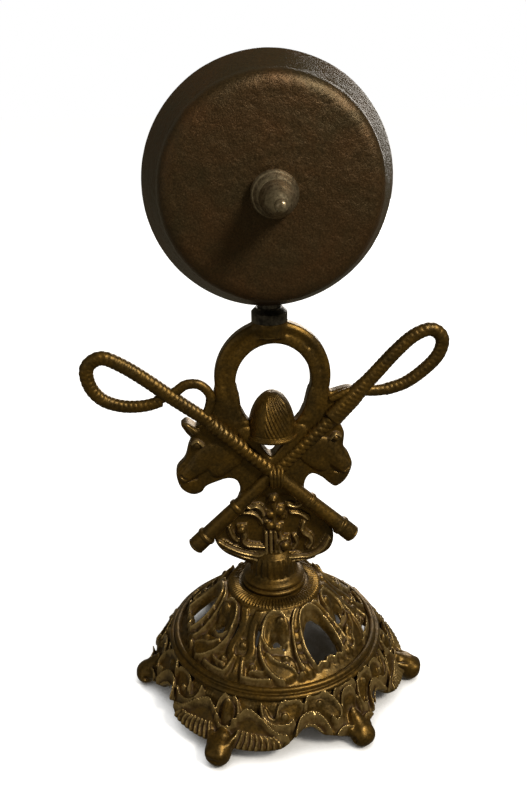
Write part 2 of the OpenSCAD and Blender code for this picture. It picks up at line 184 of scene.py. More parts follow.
def lathe(profile, segments, closed=False, swell=None):
    """Turns (radius, height) points round Z. An open profile starts and ends on the axis.
    swell(angle, height, radius) moves a point outward along the profile's normal."""
    p = np.asarray(profile, float)
    d = np.roll(p, -1, 0) - np.roll(p, 1, 0) if closed else np.gradient(p, axis=0)
    normal = np.column_stack([d[:, 1], -d[:, 0]])
    normal /= np.maximum(np.hypot(*normal.T), 1e-9)[:, None]
    angle = np.linspace(0, 2 * np.pi, segments, endpoint=False)
    rr, aa = np.meshgrid(p[:, 0], angle, indexing="ij")
    zz = np.repeat(p[:, 1][:, None], segments, 1)
    if swell is not None:
        lift = swell(aa, zz, rr)
        if not closed:
            lift[[0, -1]] = 0
        rr = rr + normal[:, :1] * lift
        zz = zz + normal[:, 1:] * lift
    verts = np.stack([rr * np.sin(aa), -rr * np.cos(aa), zz], -1).reshape(-1, 3)
    n = len(p)
    quads = grid_quads(n, segments, n if closed else n - 1)
    if closed:
        return verts, outward(verts, [quads])
    # The first and last ring shrink to one point each
    row = np.arange(n - 1).repeat(segments)
    inner, first, last = (row > 0) & (row < n - 2), row == 0, row == n - 2
    tris = np.concatenate([
        np.column_stack([np.zeros(first.sum(), int), quads[first][:, 2], quads[first][:, 3]]),
        np.column_stack([quads[last][:, 0], quads[last][:, 1], np.full(last.sum(), (n - 1) * segments)])])
    used = np.unique(np.concatenate([quads[inner].ravel(), tris.ravel()]))
    new = np.full(len(verts), -1)
    new[used] = np.arange(len(used))
    verts = verts[used]
    return verts, outward(verts, [new[quads[inner]], new[tris]])


def sweep(path, radius, sides, flat=1.0, up=(0, 1, 0)):
    """A tube along a path of 3-D points. radius(s, angle) gives its size at a distance s along it,
    and flat squeezes it along up."""
    p = np.asarray(path, float)
    d = np.gradient(p, axis=0)
    d /= np.linalg.norm(d, axis=1)[:, None]
    side = np.cross(d, np.asarray(up, float))
    side /= np.linalg.norm(side, axis=1)[:, None]
    top = np.cross(side, d)
    s = np.r_[0, np.cumsum(np.linalg.norm(np.diff(p, axis=0), axis=1))]
    angle = np.linspace(0, 2 * np.pi, sides, endpoint=False)
    ss, aa = np.meshgrid(s, angle, indexing="ij")
    r = radius(ss, aa) * np.ones_like(ss)
    ring = (side[:, None] * (r * np.cos(aa))[..., None] + top[:, None] * (flat * r * np.sin(aa))[..., None])
    verts = (p[:, None] + ring).reshape(-1, 3)
    n = len(p)
    verts = np.vstack([verts, p[:1], p[-1:]])
    j = np.arange(sides)
    j2 = (j + 1) % sides
    start = np.column_stack([np.full(sides, n * sides), j2, j])
    end = np.column_stack([np.full(sides, n * sides + 1), (n - 1) * sides + j, (n - 1) * sides + j2])
    return verts, outward(verts, [grid_quads(n, sides, n - 1), np.vstack([start, end])])


def join(parts):
    """Several (verts, faces) meshes as one"""
    verts, quads, tris, base = [], [], [], 0
    for v, faces in parts:
        for g in faces:
            (quads if g.shape[1] == 4 else tris).append(g + base)
        verts.append(v)
        base += len(v)
    out = [np.vstack(x) for x in (quads, tris) if x]
    return np.vstack(verts), out


# ---------------------------------------------------------------- distance fields


def smooth_max(a, b, r):
    h = np.maximum(r - np.abs(a - b), 0) / r
    return np.maximum(a, b) + h * h * r * 0.25


def smooth_min(a, b, r):
    return -smooth_max(-a, -b, r)


def grid_axes(low, high, step):
    return [np.arange(a, b + step, step) for a, b in zip(low, high)]


def polygon_distance(u, v, points):
    """Signed distance from each (u, v) to a closed outline, negative inside"""
    p = np.asarray(points, float)
    q = np.roll(p, -1, 0)
    best = np.full(u.shape, 1e9)
    inside = np.zeros(u.shape, bool)
    for (ax, ay), (bx, by) in zip(p, q):
        dx, dy = bx - ax, by - ay
        t = np.clip(((u - ax) * dx + (v - ay) * dy) / max(dx * dx + dy * dy, 1e-12), 0, 1)
        best = np.minimum(best, (u - ax - t * dx) ** 2 + (v - ay - t * dy) ** 2)
        if ay != by:
            cross = ((ay > v) != (by > v)) & (u < dx * (v - ay) / (dy if dy else 1) + ax)
            inside ^= cross
    return np.where(inside, -1, 1) * np.sqrt(best)


class Relief:
    """A height map in millimetres, built up from strokes, balls and plateaus. to maps the points
    that they are given by to the patch."""

    def __init__(self, low, high, step, to=lambda p: p):
        self.low, self.step, self.to = np.array(low, float), step, to
        self.u, self.v = np.meshgrid(*grid_axes(low, high, step), indexing="ij")
        self.h = np.zeros(self.u.shape)
        self.cut = np.full(self.u.shape, -9.0)  # distance into a hole, negative outside it

    def window(self, points, margin):
        lo = np.floor((np.min(points, 0) - margin - self.low) / self.step).astype(int)
        hi = np.ceil((np.max(points, 0) + margin - self.low) / self.step).astype(int) + 1
        lo = np.clip(lo, 0, np.array(self.h.shape) - 1)
        hi = np.clip(hi, lo + 1, self.h.shape)
        return (slice(lo[0], hi[0]), slice(lo[1], hi[1]))

    def line(self, points):
        return self.to(spline(points, 6) if len(points) > 2 else resample(points, 1.0))

    def along(self, window, a, b):
        """How far along the segment from a to b each place of the window is, and its distance from it"""
        u, v, d = self.u[window], self.v[window], b - a
        t = np.clip(((u - a[0]) * d[0] + (v - a[1]) * d[1]) / max(d @ d, 1e-12), 0, 1)
        return t, np.hypot(u - a[0] - t * d[0], v - a[1] - t * d[1])

    def stroke(self, points, width, height, end=None, rim=0.0):
        """A rounded ridge along a smooth line. end is its width at the far end, and rim dishes its top."""
        p = self.line(points)
        end = width if end is None else end
        n = len(p) - 1
        for i in range(n):
            a, b = p[i], p[i + 1]
            w = self.window([a, b], max(width, end) / 2)
            t, distance = self.along(w, a, b)
            q = distance / ((width + (end - width) * (i + t) / n) / 2)
            shape = np.sqrt(np.clip(1 - q ** 2, 0, 1)) * (1 - rim * np.exp(-(q / 0.55) ** 2))
            self.h[w] = np.maximum(self.h[w], height * shape)

    def groove(self, points, width, depth):
        """A rounded groove along a smooth line"""
        p = self.line(points)
        w = self.window(p, width / 2)
        q = np.minimum.reduce([self.along(w, a, b)[1] / (width / 2) for a, b in zip(p[:-1], p[1:])])
        self.h[w] -= depth * np.sqrt(np.clip(1 - q ** 2, 0, 1))

    def soften(self, width):
        """Rounds the relief's crests and corners, as casting and wear do. width is in millimetres."""
        reach = int(math.ceil(2.5 * width / self.step))
        kernel = np.exp(-0.5 * (np.arange(-reach, reach + 1) * self.step / width) ** 2)
        kernel /= kernel.sum()
        for axis in (0, 1):
            spread = np.pad(self.h, [(reach, reach) if i == axis else (0, 0) for i in (0, 1)], mode="edge")
            self.h = sum(k * np.take(spread, np.arange(i, i + self.h.shape[axis]), axis=axis)
                         for i, k in enumerate(kernel))

    def ball(self, at, radius, height):
        c = self.to(np.asarray([at], float))[0]
        w = self.window([c], radius)
        q = np.hypot(self.u[w] - c[0], self.v[w] - c[1]) / radius
        self.h[w] = np.maximum(self.h[w], height * np.sqrt(np.clip(1 - q ** 2, 0, 1)))

    def plateau(self, points, height, edge):
        """Raises (or sinks) the inside of an outline, with a soft edge"""
        p = self.to(np.asarray(points, float))
        w = self.window(p, edge)
        d = polygon_distance(self.u[w], self.v[w], p)
        self.h[w] += height * smooth_step(0.5 - d / edge)

    def hole(self, points):
        p = self.to(np.asarray(points, float))
        w = self.window(p, 4)
        self.cut[w] = np.maximum(self.cut[w], -polygon_distance(self.u[w], self.v[w], p))

    def sample(self, values, u, v):
        x = np.clip((u - self.low[0]) / self.step, 0, self.h.shape[0] - 1.001)
        y = np.clip((v - self.low[1]) / self.step, 0, self.h.shape[1] - 1.001)
        i, j = x.astype(int), y.astype(int)
        fx, fy = x - i, y - j
        return ((values[i, j] * (1 - fx) + values[i + 1, j] * fx) * (1 - fy)
                + (values[i, j + 1] * (1 - fx) + values[i + 1, j + 1] * fx) * fy)


def sample_field(f, low, step, p):
    """The field's value at points p, between its grid points"""
    q = (p - low) / step
    q = np.clip(q, 0, np.array(f.shape) - 1.001)
    i = q.astype(int)
    return sum(w * f[tuple((i + corner).T)] for corner, w in corner_weights(q - i))


def field_slope(f, low, step, p):
    g = np.empty((len(p), 3))
    for a in range(3):
        e = np.zeros(3)
        e[a] = step * 0.5
        g[:, a] = (sample_field(f, low, step, p + e) - sample_field(f, low, step, p - e)) / step
    return g


def surface_net(f, low, step):
    """Closed quads round the negative part of a field. Returns vertices, quads and two layers:
    cavity is high in recesses, edge is high on outer edges."""
    neg = f < 0
    count = np.zeros(tuple(n - 1 for n in f.shape), np.int8)
    for corner in np.ndindex(2, 2, 2):
        count += neg[tuple(slice(c, c + n) for c, n in zip(corner, count.shape))]
    active = (count > 0) & (count < 8)
    index = np.full(active.shape, -1, np.int32)
    index[active] = np.arange(active.sum())
    cells = np.argwhere(active)
    total, hits = np.zeros((len(cells), 3)), np.zeros(len(cells))
    corners = [np.array(c) for c in np.ndindex(2, 2, 2)]
    for a in corners:
        for axis in range(3):
            if a[axis]:
                continue
            b = a.copy()
            b[axis] = 1
            ca, cb = cells + a, cells + b
            fa, fb = f[ca[:, 0], ca[:, 1], ca[:, 2]], f[cb[:, 0], cb[:, 1], cb[:, 2]]
            cross = (fa < 0) != (fb < 0)
            t = np.where(cross, fa / np.where(cross, fa - fb, 1), 0)
            total[cross] += (a + t[:, None] * (b - a))[cross]
            hits += cross
    verts = low + step * (cells + total / hits[:, None])
    quads = []
    for axis in range(3):
        u, v = (axis + 1) % 3, (axis + 2) % 3
        lower = [slice(None)] * 3
        upper = [slice(None)] * 3
        lower[axis], upper[axis] = slice(None, -1), slice(1, None)
        inside = neg[tuple(lower)]
        e = np.argwhere(inside != neg[tuple(upper)])
        out = inside[e[:, 0], e[:, 1], e[:, 2]]
        du, dv = np.zeros(3, int), np.zeros(3, int)
        du[u], dv[v] = 1, 1
        ring = np.column_stack([index[tuple((e - o).T)] for o in (0 * du, du, du + dv, dv)])
        quads.append(np.where(out[:, None], ring, ring[:, ::-1]))
    quads = np.vstack(quads)
    for _ in range(2):  # moves the points onto the surface
        g = field_slope(f, low, step, verts)
        size = np.maximum((g ** 2).sum(1), 0.05)
        move = -sample_field(f, low, step, verts)[:, None] * g / size[:, None]
        verts = verts + np.clip(move, -0.4 * step, 0.4 * step)
    g = field_slope(f, low, step, verts)
    size = np.maximum(np.linalg.norm(g, axis=1), 0.2)
    n = g / size[:, None]
    # cavity works as an occlusion estimate: the patina darkens with it as dirt and painted shade, and
    # brightens with edge as wear and a painted highlight
    cavity, edge = np.zeros(len(verts)), np.zeros(len(verts))
    for d in (0.7, 1.8):
        cavity += 0.5 * np.clip(1 - sample_field(f, low, step, verts + n * d) / (d * size), 0, 1.2)
        edge += 0.5 * np.clip(1 + sample_field(f, low, step, verts - n * d) / (d * size), 0, 1)
    return verts, quads, {"cavity": cavity, "edge": edge}


# ---------------------------------------------------------------- materials


def link(tree, value, socket):
    if isinstance(value, bpy.types.NodeSocket):
        tree.links.new(value, socket)
    else:
        socket.default_value = value


def add(tree, kind, inputs=None, **settings):
    """A shader node with its settings and inputs; inputs are values or other nodes' outputs"""
    n = tree.nodes.new(kind)
    for key, value in settings.items():
        setattr(n, key, value)
    for key, value in (inputs or {}).items():
        link(tree, value, n.inputs[key])
    return n


def math_node(tree, operation, a, b=0.0, clamp=False):
    return add(tree, "ShaderNodeMath", {0: a, 1: b}, operation=operation, use_clamp=clamp).outputs[0]


def mix(tree, factor, a, b):
    n = tree.nodes.new("ShaderNodeMix")
    n.data_type = "RGBA"
    link(tree, factor, n.inputs[0])
    for value, socket in ((a, n.inputs[6]), (b, n.inputs[7])):
        link(tree, (*value, 1.0) if isinstance(value, tuple) else value, socket)
    return n.outputs[2]


def remap(tree, value, from_low, from_high, low, high):
    n = add(tree, "ShaderNodeMapRange", {0: value, 1: from_low, 2: from_high, 3: low, 4: high})
    return n.outputs[0]


def texture(tree, where, scale, detail=5.0, rough=0.6, distortion=0.0):
    n = add(tree, "ShaderNodeTexNoise", {"Vector": where, "Scale": scale, "Detail": detail,
                                         "Roughness": rough, "Distortion": distortion})
    return n.outputs[0]


def patina(name, ground, blotch, recess, wear_and_highlight, metallic, rough, recess_at=(0.12, 0.5), wear_and_highlight_at=(0.35, 0.75),
           pits=0.25, grain=900.0, blotch_scale=90.0, wear_and_highlight_rough=0.3):
    """Aged metal: blotches over the ground colour, dirt and painted shade in the recesses, wear and a
    painted highlight on the outer edges
    """
    material = bpy.data.materials.new(name)
    material.use_nodes = True
    tree = material.node_tree
    shader = tree.nodes["Principled BSDF"]
    where = add(tree, "ShaderNodeTexCoord").outputs["Object"]
    broad = texture(tree, where, blotch_scale, 6.0, 0.62, 0.4)
    fine = texture(tree, where, grain, 4.0, 0.65)
    middle = texture(tree, where, blotch_scale * 4.2, 5.0, 0.6)
    cavity = add(tree, "ShaderNodeAttribute", attribute_name="cavity").outputs["Fac"]
    edge = add(tree, "ShaderNodeAttribute", attribute_name="edge").outputs["Fac"]
    point = add(tree, "ShaderNodeNewGeometry").outputs["Pointiness"]
    dent = remap(tree, point, 0.44, 0.5, 0.5, 0.0)
    ridge = remap(tree, point, 0.5, 0.57, 0.0, 0.5)
    # The colour darkens in hollows, from the cavity layer and the pointiness: dirt and painted shade
    dirt_and_shade = math_node(tree, "ADD", cavity, dent)
    dirt_and_shade = math_node(tree, "ADD", dirt_and_shade, remap(tree, middle, 0.3, 0.7, -0.12, 0.12))
    dirt_and_shade = remap(tree, dirt_and_shade, recess_at[0], recess_at[1], 0.0, 1.0)
    # The colour brightens on outer edges and crests: wear and a painted highlight
    wear_and_highlight_mask = math_node(tree, "ADD", edge, ridge)
    wear_and_highlight_mask = math_node(tree, "ADD", wear_and_highlight_mask, remap(tree, middle, 0.3, 0.7, -0.25, 0.2))
    wear_and_highlight_mask = remap(tree, wear_and_highlight_mask, wear_and_highlight_at[0], wear_and_highlight_at[1], 0.0, 1.0)
    colour = mix(tree, remap(tree, broad, 0.38, 0.62, 0.0, 1.0), ground, blotch)
    speck = remap(tree, fine, 0.35, 0.65, 0.72, 1.25)
    scaled = add(tree, "ShaderNodeVectorMath", {0: colour, "Scale": speck}, operation="SCALE").outputs[0]
    colour = mix(tree, dirt_and_shade, scaled, recess)
    colour = mix(tree, wear_and_highlight_mask, colour, wear_and_highlight)
    link(tree, colour, shader.inputs["Base Color"])
    gloss = remap(tree, fine, 0.3, 0.7, rough - 0.1, rough + 0.12)
    gloss = math_node(tree, "ADD", gloss, math_node(tree, "MULTIPLY", dirt_and_shade, 0.22))
    gloss = math_node(tree, "SUBTRACT", gloss, math_node(tree, "MULTIPLY", wear_and_highlight_mask, rough - wear_and_highlight_rough),
                      clamp=True)
    link(tree, gloss, shader.inputs["Roughness"])
    keep = math_node(tree, "SUBTRACT", metallic, math_node(tree, "MULTIPLY", dirt_and_shade, metallic * 0.7),
                     clamp=True)
    link(tree, keep, shader.inputs["Metallic"])
    height = math_node(tree, "ADD", math_node(tree, "MULTIPLY", fine, 0.5), math_node(tree, "MULTIPLY",
                                                                                      middle, 1.0))
    bump = add(tree, "ShaderNodeBump", {"Height": height, "Strength": pits, "Distance": 0.0006})
    link(tree, bump.outputs[0], shader.inputs["Normal"])
    return material


def leather():
    """Old pressed leather, with a fine grain"""
    material = bpy.data.materials.new("leather")
    material.use_nodes = True
    tree = material.node_tree
    shader = tree.nodes["Principled BSDF"]
    where = add(tree, "ShaderNodeTexCoord").outputs["Object"]
    broad = texture(tree, where, 260.0, 5.0)
    cells = add(tree, "ShaderNodeTexVoronoi", {"Vector": where, "Scale": 1800.0}).outputs["Distance"]
    colour = mix(tree, remap(tree, broad, 0.35, 0.65, 0.0, 1.0), (0.075, 0.04, 0.018), (0.028, 0.014,
                                                                                        0.007))
    link(tree, colour, shader.inputs["Base Color"])
    link(tree, remap(tree, broad, 0.3, 0.7, 0.62, 0.85), shader.inputs["Roughness"])
    bump = add(tree, "ShaderNodeBump", {"Height": cells, "Strength": 0.4, "Distance": 0.0003})
    link(tree, bump.outputs[0], shader.inputs["Normal"])
    return material


def plain_stage(name, colour, rough, glow):
    """A pale painted studio surface with a barely visible tooth and a faint light of its own, dimmed by
    ambient occlusion into painted shade under and inside the base
    """
    material = bpy.data.materials.new(name)
    material.use_nodes = True
    tree = material.node_tree
    shader = tree.nodes["Principled BSDF"]
    where = add(tree, "ShaderNodeTexCoord").outputs["Object"]
    tooth = texture(tree, where, 40.0, 3.0)
    pale = tuple(c * 0.985 for c in colour)
    link(tree, mix(tree, tooth, colour, pale), shader.inputs["Base Color"])
    shader.inputs["Roughness"].default_value = rough
    # Ambient occlusion dims the floor's glow: painted shade under and inside the base
    shade = add(tree, "ShaderNodeAmbientOcclusion", {"Distance": 0.07}, samples=8).outputs["AO"]
    shader.inputs["Emission Color"].default_value = (1.0, 1.0, 1.0, 1.0)
    link(tree, remap(tree, shade, 0.3, 0.72, 0.0, glow), shader.inputs["Emission Strength"])
    return material


# The recess colours below are dirt and painted shade; the edge colours are wear and a painted highlight
CAST = patina("cast_bronze", ground=(0.125, 0.069, 0.01), blotch=(0.066, 0.04, 0.009),
              recess=(0.045, 0.021, 0.004), wear_and_highlight=(0.32, 0.222, 0.085), metallic=0.8, rough=0.4,
              wear_and_highlight_rough=0.31, recess_at=(0.35, 1.0), wear_and_highlight_at=(0.38, 1.05))
GONG = patina("gong_bronze", ground=(0.05, 0.033, 0.012), blotch=(0.07, 0.035, 0.011),
              recess=(0.03, 0.02, 0.009), wear_and_highlight=(0.13, 0.08, 0.035), metallic=0.7, rough=0.4,
              wear_and_highlight_rough=0.34, pits=0.6, grain=1500.0, blotch_scale=38.0, recess_at=(0.3, 0.9),
              wear_and_highlight_at=(0.55, 1.1))
NICKEL = patina("nickel", ground=(0.36, 0.3, 0.2), blotch=(0.24, 0.19, 0.12),
                recess=(0.05, 0.038, 0.022), wear_and_highlight=(0.72, 0.64, 0.5), metallic=0.9, rough=0.33,
                wear_and_highlight_rough=0.23, pits=0.12, blotch_scale=180.0)
DARK_STEEL = patina("dark_steel", ground=(0.03, 0.026, 0.02), blotch=(0.02, 0.017, 0.013),
                    recess=(0.035, 0.017, 0.007), wear_and_highlight=(0.13, 0.115, 0.09), metallic=0.8,
                    rough=0.45, wear_and_highlight_rough=0.33, pits=0.15)
STEEL = patina("steel", ground=(0.27, 0.255, 0.23), blotch=(0.19, 0.175, 0.15),
               recess=(0.07, 0.045, 0.025), wear_and_highlight=(0.45, 0.43, 0.4), metallic=0.95, rough=0.34,
               wear_and_highlight_rough=0.24, pits=0.08, blotch_scale=220.0)
BRASS = patina("hammer_brass", ground=(0.3, 0.19, 0.06), blotch=(0.2, 0.12, 0.035),
               recess=(0.06, 0.035, 0.015), wear_and_highlight=(0.5, 0.36, 0.15), metallic=0.95, rough=0.33,
               wear_and_highlight_rough=0.22, pits=0.08, blotch_scale=200.0)
LEATHER = leather()


def place(obj, slot, body, *replaced):
    """Puts a finished piece on its body, in the place of the CAD nodes that it stands for"""
    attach(obj, body)
    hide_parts(*replaced)


def cast_piece(name, verts, faces, node):
    """A cast bronze piece of the stand's body, in the place of a CAD node"""
    place(make_object(name, verts, faces, CAST), "cast_bronze", "stand", node)


def sculpt(name, f, axes, node):
    """A cast piece from a field, cut down to at most MAX_TRIANGLES triangles"""
    verts, quads, layers = surface_net(f, np.array([a[0] for a in axes]), GRID)
    obj = make_object(name, verts, quads, CAST, layers)
    if 2 * len(quads) > MAX_TRIANGLES:
        cut = obj.modifiers.new("fewer", "DECIMATE")
        cut.ratio = MAX_TRIANGLES / (2 * len(quads))
        apply_modifiers(obj)
    place(obj, "cast_bronze", "stand", node)


def apply_modifiers(obj):
    graph = bpy.context.evaluated_depsgraph_get()
    mesh = bpy.data.meshes.new_from_object(obj.evaluated_get(graph))
    old = obj.data
    obj.modifiers.clear()
    obj.data = mesh
    bpy.data.meshes.remove(old)


def on_gong_axis(verts, z):
    """Lathe points turned so that their height runs along +Y, at the height z"""
    return np.column_stack([verts[:, 0], verts[:, 2], z - verts[:, 1]])


def at_points(angle, height, radius):
    return np.column_stack([(radius * np.sin(angle)).ravel(), (-radius * np.cos(angle)).ravel(),
                            height.ravel()])


# ---------------------------------------------------------------- gong and finial


def uneven(height, size, seed):
    """A lathe's swell: a slightly uneven skin"""
    return lambda a, h, q: (height * noise(at_points(a, h, q), size, seed)).reshape(a.shape)


def gong():
    low, high = box_mm("gong")
    rim, face = high[1], low[1]
    radius, centre_z = (high[0] - low[0]) / 2, (high[2] + low[2]) / 2
    wall, hole = 2.0, 2.8
    shoulder, shoulder_y, flat = radius - 5.5, face + 6, radius - 11
    round_over = bow([shoulder, shoulder_y], [flat, face + 0.6], 1.6, 10)
    skin = np.vstack([[[radius - 0.5, rim], [radius - 0.08, rim - 0.3], [radius, rim - 0.8]], round_over,
                      [[flat - 9, face + 0.25], [10, face + 0.05], [hole + 0.3, face], [hole, face + 0.3]]])
    under = bow([flat - 0.6, face + wall + 0.6], [shoulder - wall - 0.1, shoulder_y + 0.3], -1.4, 6)
    lining = np.vstack([[[hole, face + wall - 0.2], [8, face + wall]], under,
                        [[radius - wall - 0.15, rim - 0.3], [radius - wall + 0.25, rim]]])
    fine = 0.6
    profile = np.vstack([resample(skin, fine), resample(lining, 1.4)])
    keep = np.r_[True, np.linalg.norm(np.diff(profile, axis=0), axis=1) > 1e-6]

    def dents(angle, height, r):
        p = at_points(angle, height, r)
        outside = (height < shoulder_y + 1).ravel()
        peel = 0.055 * noise(p, 1.5, 3) + 0.075 * noise(p, 3.1, 4) + 0.05 * noise(p, 0.9, 5)
        wavy = 0.12 * noise(p, 14, 6)
        lift = wavy + np.where(outside, peel, 0.3 * peel)
        return lift.reshape(angle.shape)

    verts, faces = lathe(profile[keep], 440, closed=True, swell=dents)
    obj = make_object("gong_shell", on_gong_axis(verts, centre_z), faces, GONG)
    place(obj, "gong_bronze", "stand", "gong")


def finial():
    low, high = box_mm("finial_cup")
    back, front, r = high[1], low[1], (high[0] - low[0]) / 2
    z = (high[2] + low[2]) / 2
    step = 0.22
    cup = [[2.6, back], [r - 1.3, back], [r - 0.5, back - 0.25], [r, back - 1.0], [r + 0.05, back - 2.0],
           [r - 0.35, back - 2.9], [r - 0.9, back - 3.5], [r - 1.05, back - 3.9], [r - 1.7, back - 5.0],
           [r - 2.5, front + 0.4], [r - 3.0, front], [2.6, front]]
    verts, faces = lathe(resample(cup, step), 128, closed=True, swell=uneven(0.06, 2.4, 11))
    obj = make_object("finial_cup_ring", on_gong_axis(verts, z), faces, NICKEL)
    place(obj, "nickel", "stand", "finial_cup")
    low, high = box_mm("finial_nut")
    tip, seat = low[1], high[1]
    nut = np.add([[0.01, 0], [1.3, 0.35], [2.1, 1.4], [2.15, 2.5], [1.75, 3.5], [2.1, 4.1], [3.2, 5.6],
                  [4.7, 8.6], [5.6, 11.4], [6.0, 14], [6.05, 15.6], [5.7, 16.5], [5.3, 16.9]], [0, tip])
    nut = spline(np.vstack([nut, [[5.2, seat - 0.3]]]), 5)
    nut = np.vstack([nut, [[5.1, seat], [0.01, seat]]])
    verts, faces = lathe(resample(nut, step), 112, swell=uneven(0.05, 2.0, 12))
    obj = make_object("finial_nut_dome", on_gong_axis(verts, z), faces, NICKEL)
    place(obj, "nickel", "stand", "finial_nut")


# ---------------------------------------------------------------- base

FEET = {"snout": (78, 207, 332), "scroll": (32, 143, 272)}
FOOT_AZIMUTHS = [-29, 32, 78, 143, 207, 272, 332]
DOME_AZIMUTHS = [-31, 32, 90, 150, 210, 270, 329]
EVEN_AZIMUTHS = [-30, 30, 90, 150, 210, 270, 330]
SEAT_R, RIDGE_R, RIDGE_Z, APRON_R, APRON_Z = 20.0, 44.0, 25.0, 57.4, 6.0
RELIEF_GAIN = 1.35  # how boldly the base's relief stands out
RELIEF_BLUR = 0.32  # rounding of its crests, mm
RELIEF_STEP = 0.3
DOME_SLOPE = math.cos(math.atan2(23.0, 24.6))
APRON_SLOPE = math.cos(math.atan2(19.6, 13.4))


def unrolled(slope):
    """Maps (azimuth, radius) points on a cone to its flat pattern, in millimetres"""
    def to(p):
        angle = np.radians(p[..., 0]) * slope
        return np.stack([p[..., 1] / slope * np.sin(angle), p[..., 1] / slope * np.cos(angle)], -1)
    return to


def folded(azimuth):
    """The azimuth inside the half motif from -30 to 30, which repeats as mirrored pairs"""
    a = np.mod(azimuth + 30, 120)
    return np.minimum(a, 120 - a) - 30


def circle(azimuth, radius, size, slope):
    """A small circle round a place on the cone, as (azimuth, radius) points"""
    a = np.linspace(0, 2 * np.pi, 15)
    return np.column_stack([azimuth + np.degrees(size * np.sin(a) / radius),
                            radius + slope * size * np.cos(a)])


def dome_relief():
    """The pierced scrollwork of one half motif, from the rosette at -30 to the window's axis at 30"""
    m = Relief((-36, 20), (36, 66), RELIEF_STEP, unrolled(DOME_SLOPE))
    line = m.stroke
    # Rosette strip
    m.ball((-30, 31), 2.7, 1.2)
    m.groove(circle(-30, 31, 1.5, DOME_SLOPE), 0.8, 0.9)
    line([(-30, 34.5), (-30, 39)], 2.6, 0.9, end=1.4)
    line([(-30, 27.5), (-30, 23)], 2.4, 0.9, end=1.6)
    # S-shaped strap that ends in a square corner, with the bar along the foot of the dome
    line([(-20, 20.8), (-24, 24.4), (-24.6, 27.6), (-22.4, 30.5), (-22.3, 33.6), (-24.6, 35.2)], 3.8, 2.0,
         rim=0.5)
    line([(-27, 35.2), (-25.8, 38)], 2.1, 1.7)
    line([(-25.8, 38), (-24.4, 41)], 2.1, 1.7)
    line([(-24.4, 41.1), (-16.5, 41.3), (-8.6, 41)], 2.1, 1.7)
    line([(-20.6, 38.4), (-15.2, 38.3), (-11, 38)], 1.3, 1.4)
    # C-shaped pad with a raised rim and a ball
    pad = spline([(3.4, 28.2), (5.4, 26.4), (5.2, 23.6), (-1, 21.7), (-9.6, 22.3), (-15.2, 25),
                  (-15.6, 28.7), (-11.2, 31.2), (-8.4, 29.4), (-8, 27.2), (-3.6, 26.2), (0, 28),
                  (3.4, 28.2)], 4)
    m.plateau(pad, 1.5, 1.6)
    line([(5.2, 27), (5.6, 24), (-1, 21.8), (-9.6, 22.3), (-15.2, 25), (-15.6, 28.7), (-11.2, 31.4),
          (-6, 32.2), (-0.6, 31.4)], 1.7, 2.5, end=1.2)
    m.ball((0.4, 25), 2.7, 2.9)
    # Leaf with two ribs and a smooth lobe
    leaf = spline([(-15, 31), (-9.6, 32.8), (-3.8, 32.9), (4, 33.6), (7.8, 36.2), (6, 39.8), (0, 41.4),
                   (-4.6, 40.8), (-9, 38.4), (-12.8, 35.4), (-15, 31)], 4)
    m.plateau(leaf, 1.2, 1.6)
    line([(-17, 28.6), (-16, 32.2), (-13, 35.8), (-9, 38.6), (-4.4, 41), (-0.8, 41.8)], 1.8, 2.4, end=1.3)
    line([(-10.8, 33.2), (-4.2, 35.8), (2.8, 37.2), (6.8, 39.4)], 1.6, 2.3, end=1.0)
    m.ball((1.6, 35), 2.3, 2.0)
    m.ball((-11.4, 34.2), 1.7, 1.9)
    m.ball((9.6, 40), 1.5, 2.0)
    m.ball((-19.6, 36.8), 1.3, 1.4)
    # Horseshoe frame of the window: a broad band inside a bright inner rim
    line([(14.2, 39.4), (11.6, 35.4), (11.8, 30.4), (13.6, 26.2), (18.4, 23.0), (26, 21.8), (34, 21.5)],
         4.4, 1.6)
    line([(18.4, 38.6), (16.2, 34.6), (15.8, 30.2), (17.6, 25.8), (23, 23.1), (34, 22.4)], 1.9, 2.7)
    line([(11.6, 38.6), (9.2, 34.8), (9.2, 30.2), (10.2, 26), (14, 23), (20, 21.4)], 1.4, 2.2)
    for az, r in ((13.2, 36.4), (12.5, 33.4), (12.7, 30.4), (14.0, 27.2)):
        m.groove([(az - 1.7, r), (az + 1.7, r)], 1.0, 1.0)
    line([(20.4, 39), (23.6, 37.9), (26.4, 38.8), (28.6, 37.4), (31.4, 38)], 1.7, 1.6)
    # Piercings
    m.hole([(-20.6, 39.3), (-11, 39), (-10.6, 40), (-20.8, 40.4)])
    m.hole(spline([(-7.6, 28.4), (-3.6, 27.4), (0, 29.2), (3.2, 29.6), (1, 30.6), (-4, 30.8), (-7.6, 28.4)],
                  3))
    m.hole(spline([(-20.4, 24.6), (-18.6, 25.6), (-18.6, 29), (-19.8, 30.6), (-21, 28), (-20.4, 24.6)], 3))
    m.hole([(35, 23.8), (27, 24.1), (20.8, 26.4), (18.2, 29.6), (18.4, 33.6), (20.8, 36.9), (24, 36),
            (26.4, 36.6), (28.6, 35.5), (35, 36.2)])
    m.soften(RELIEF_BLUR)
    return m


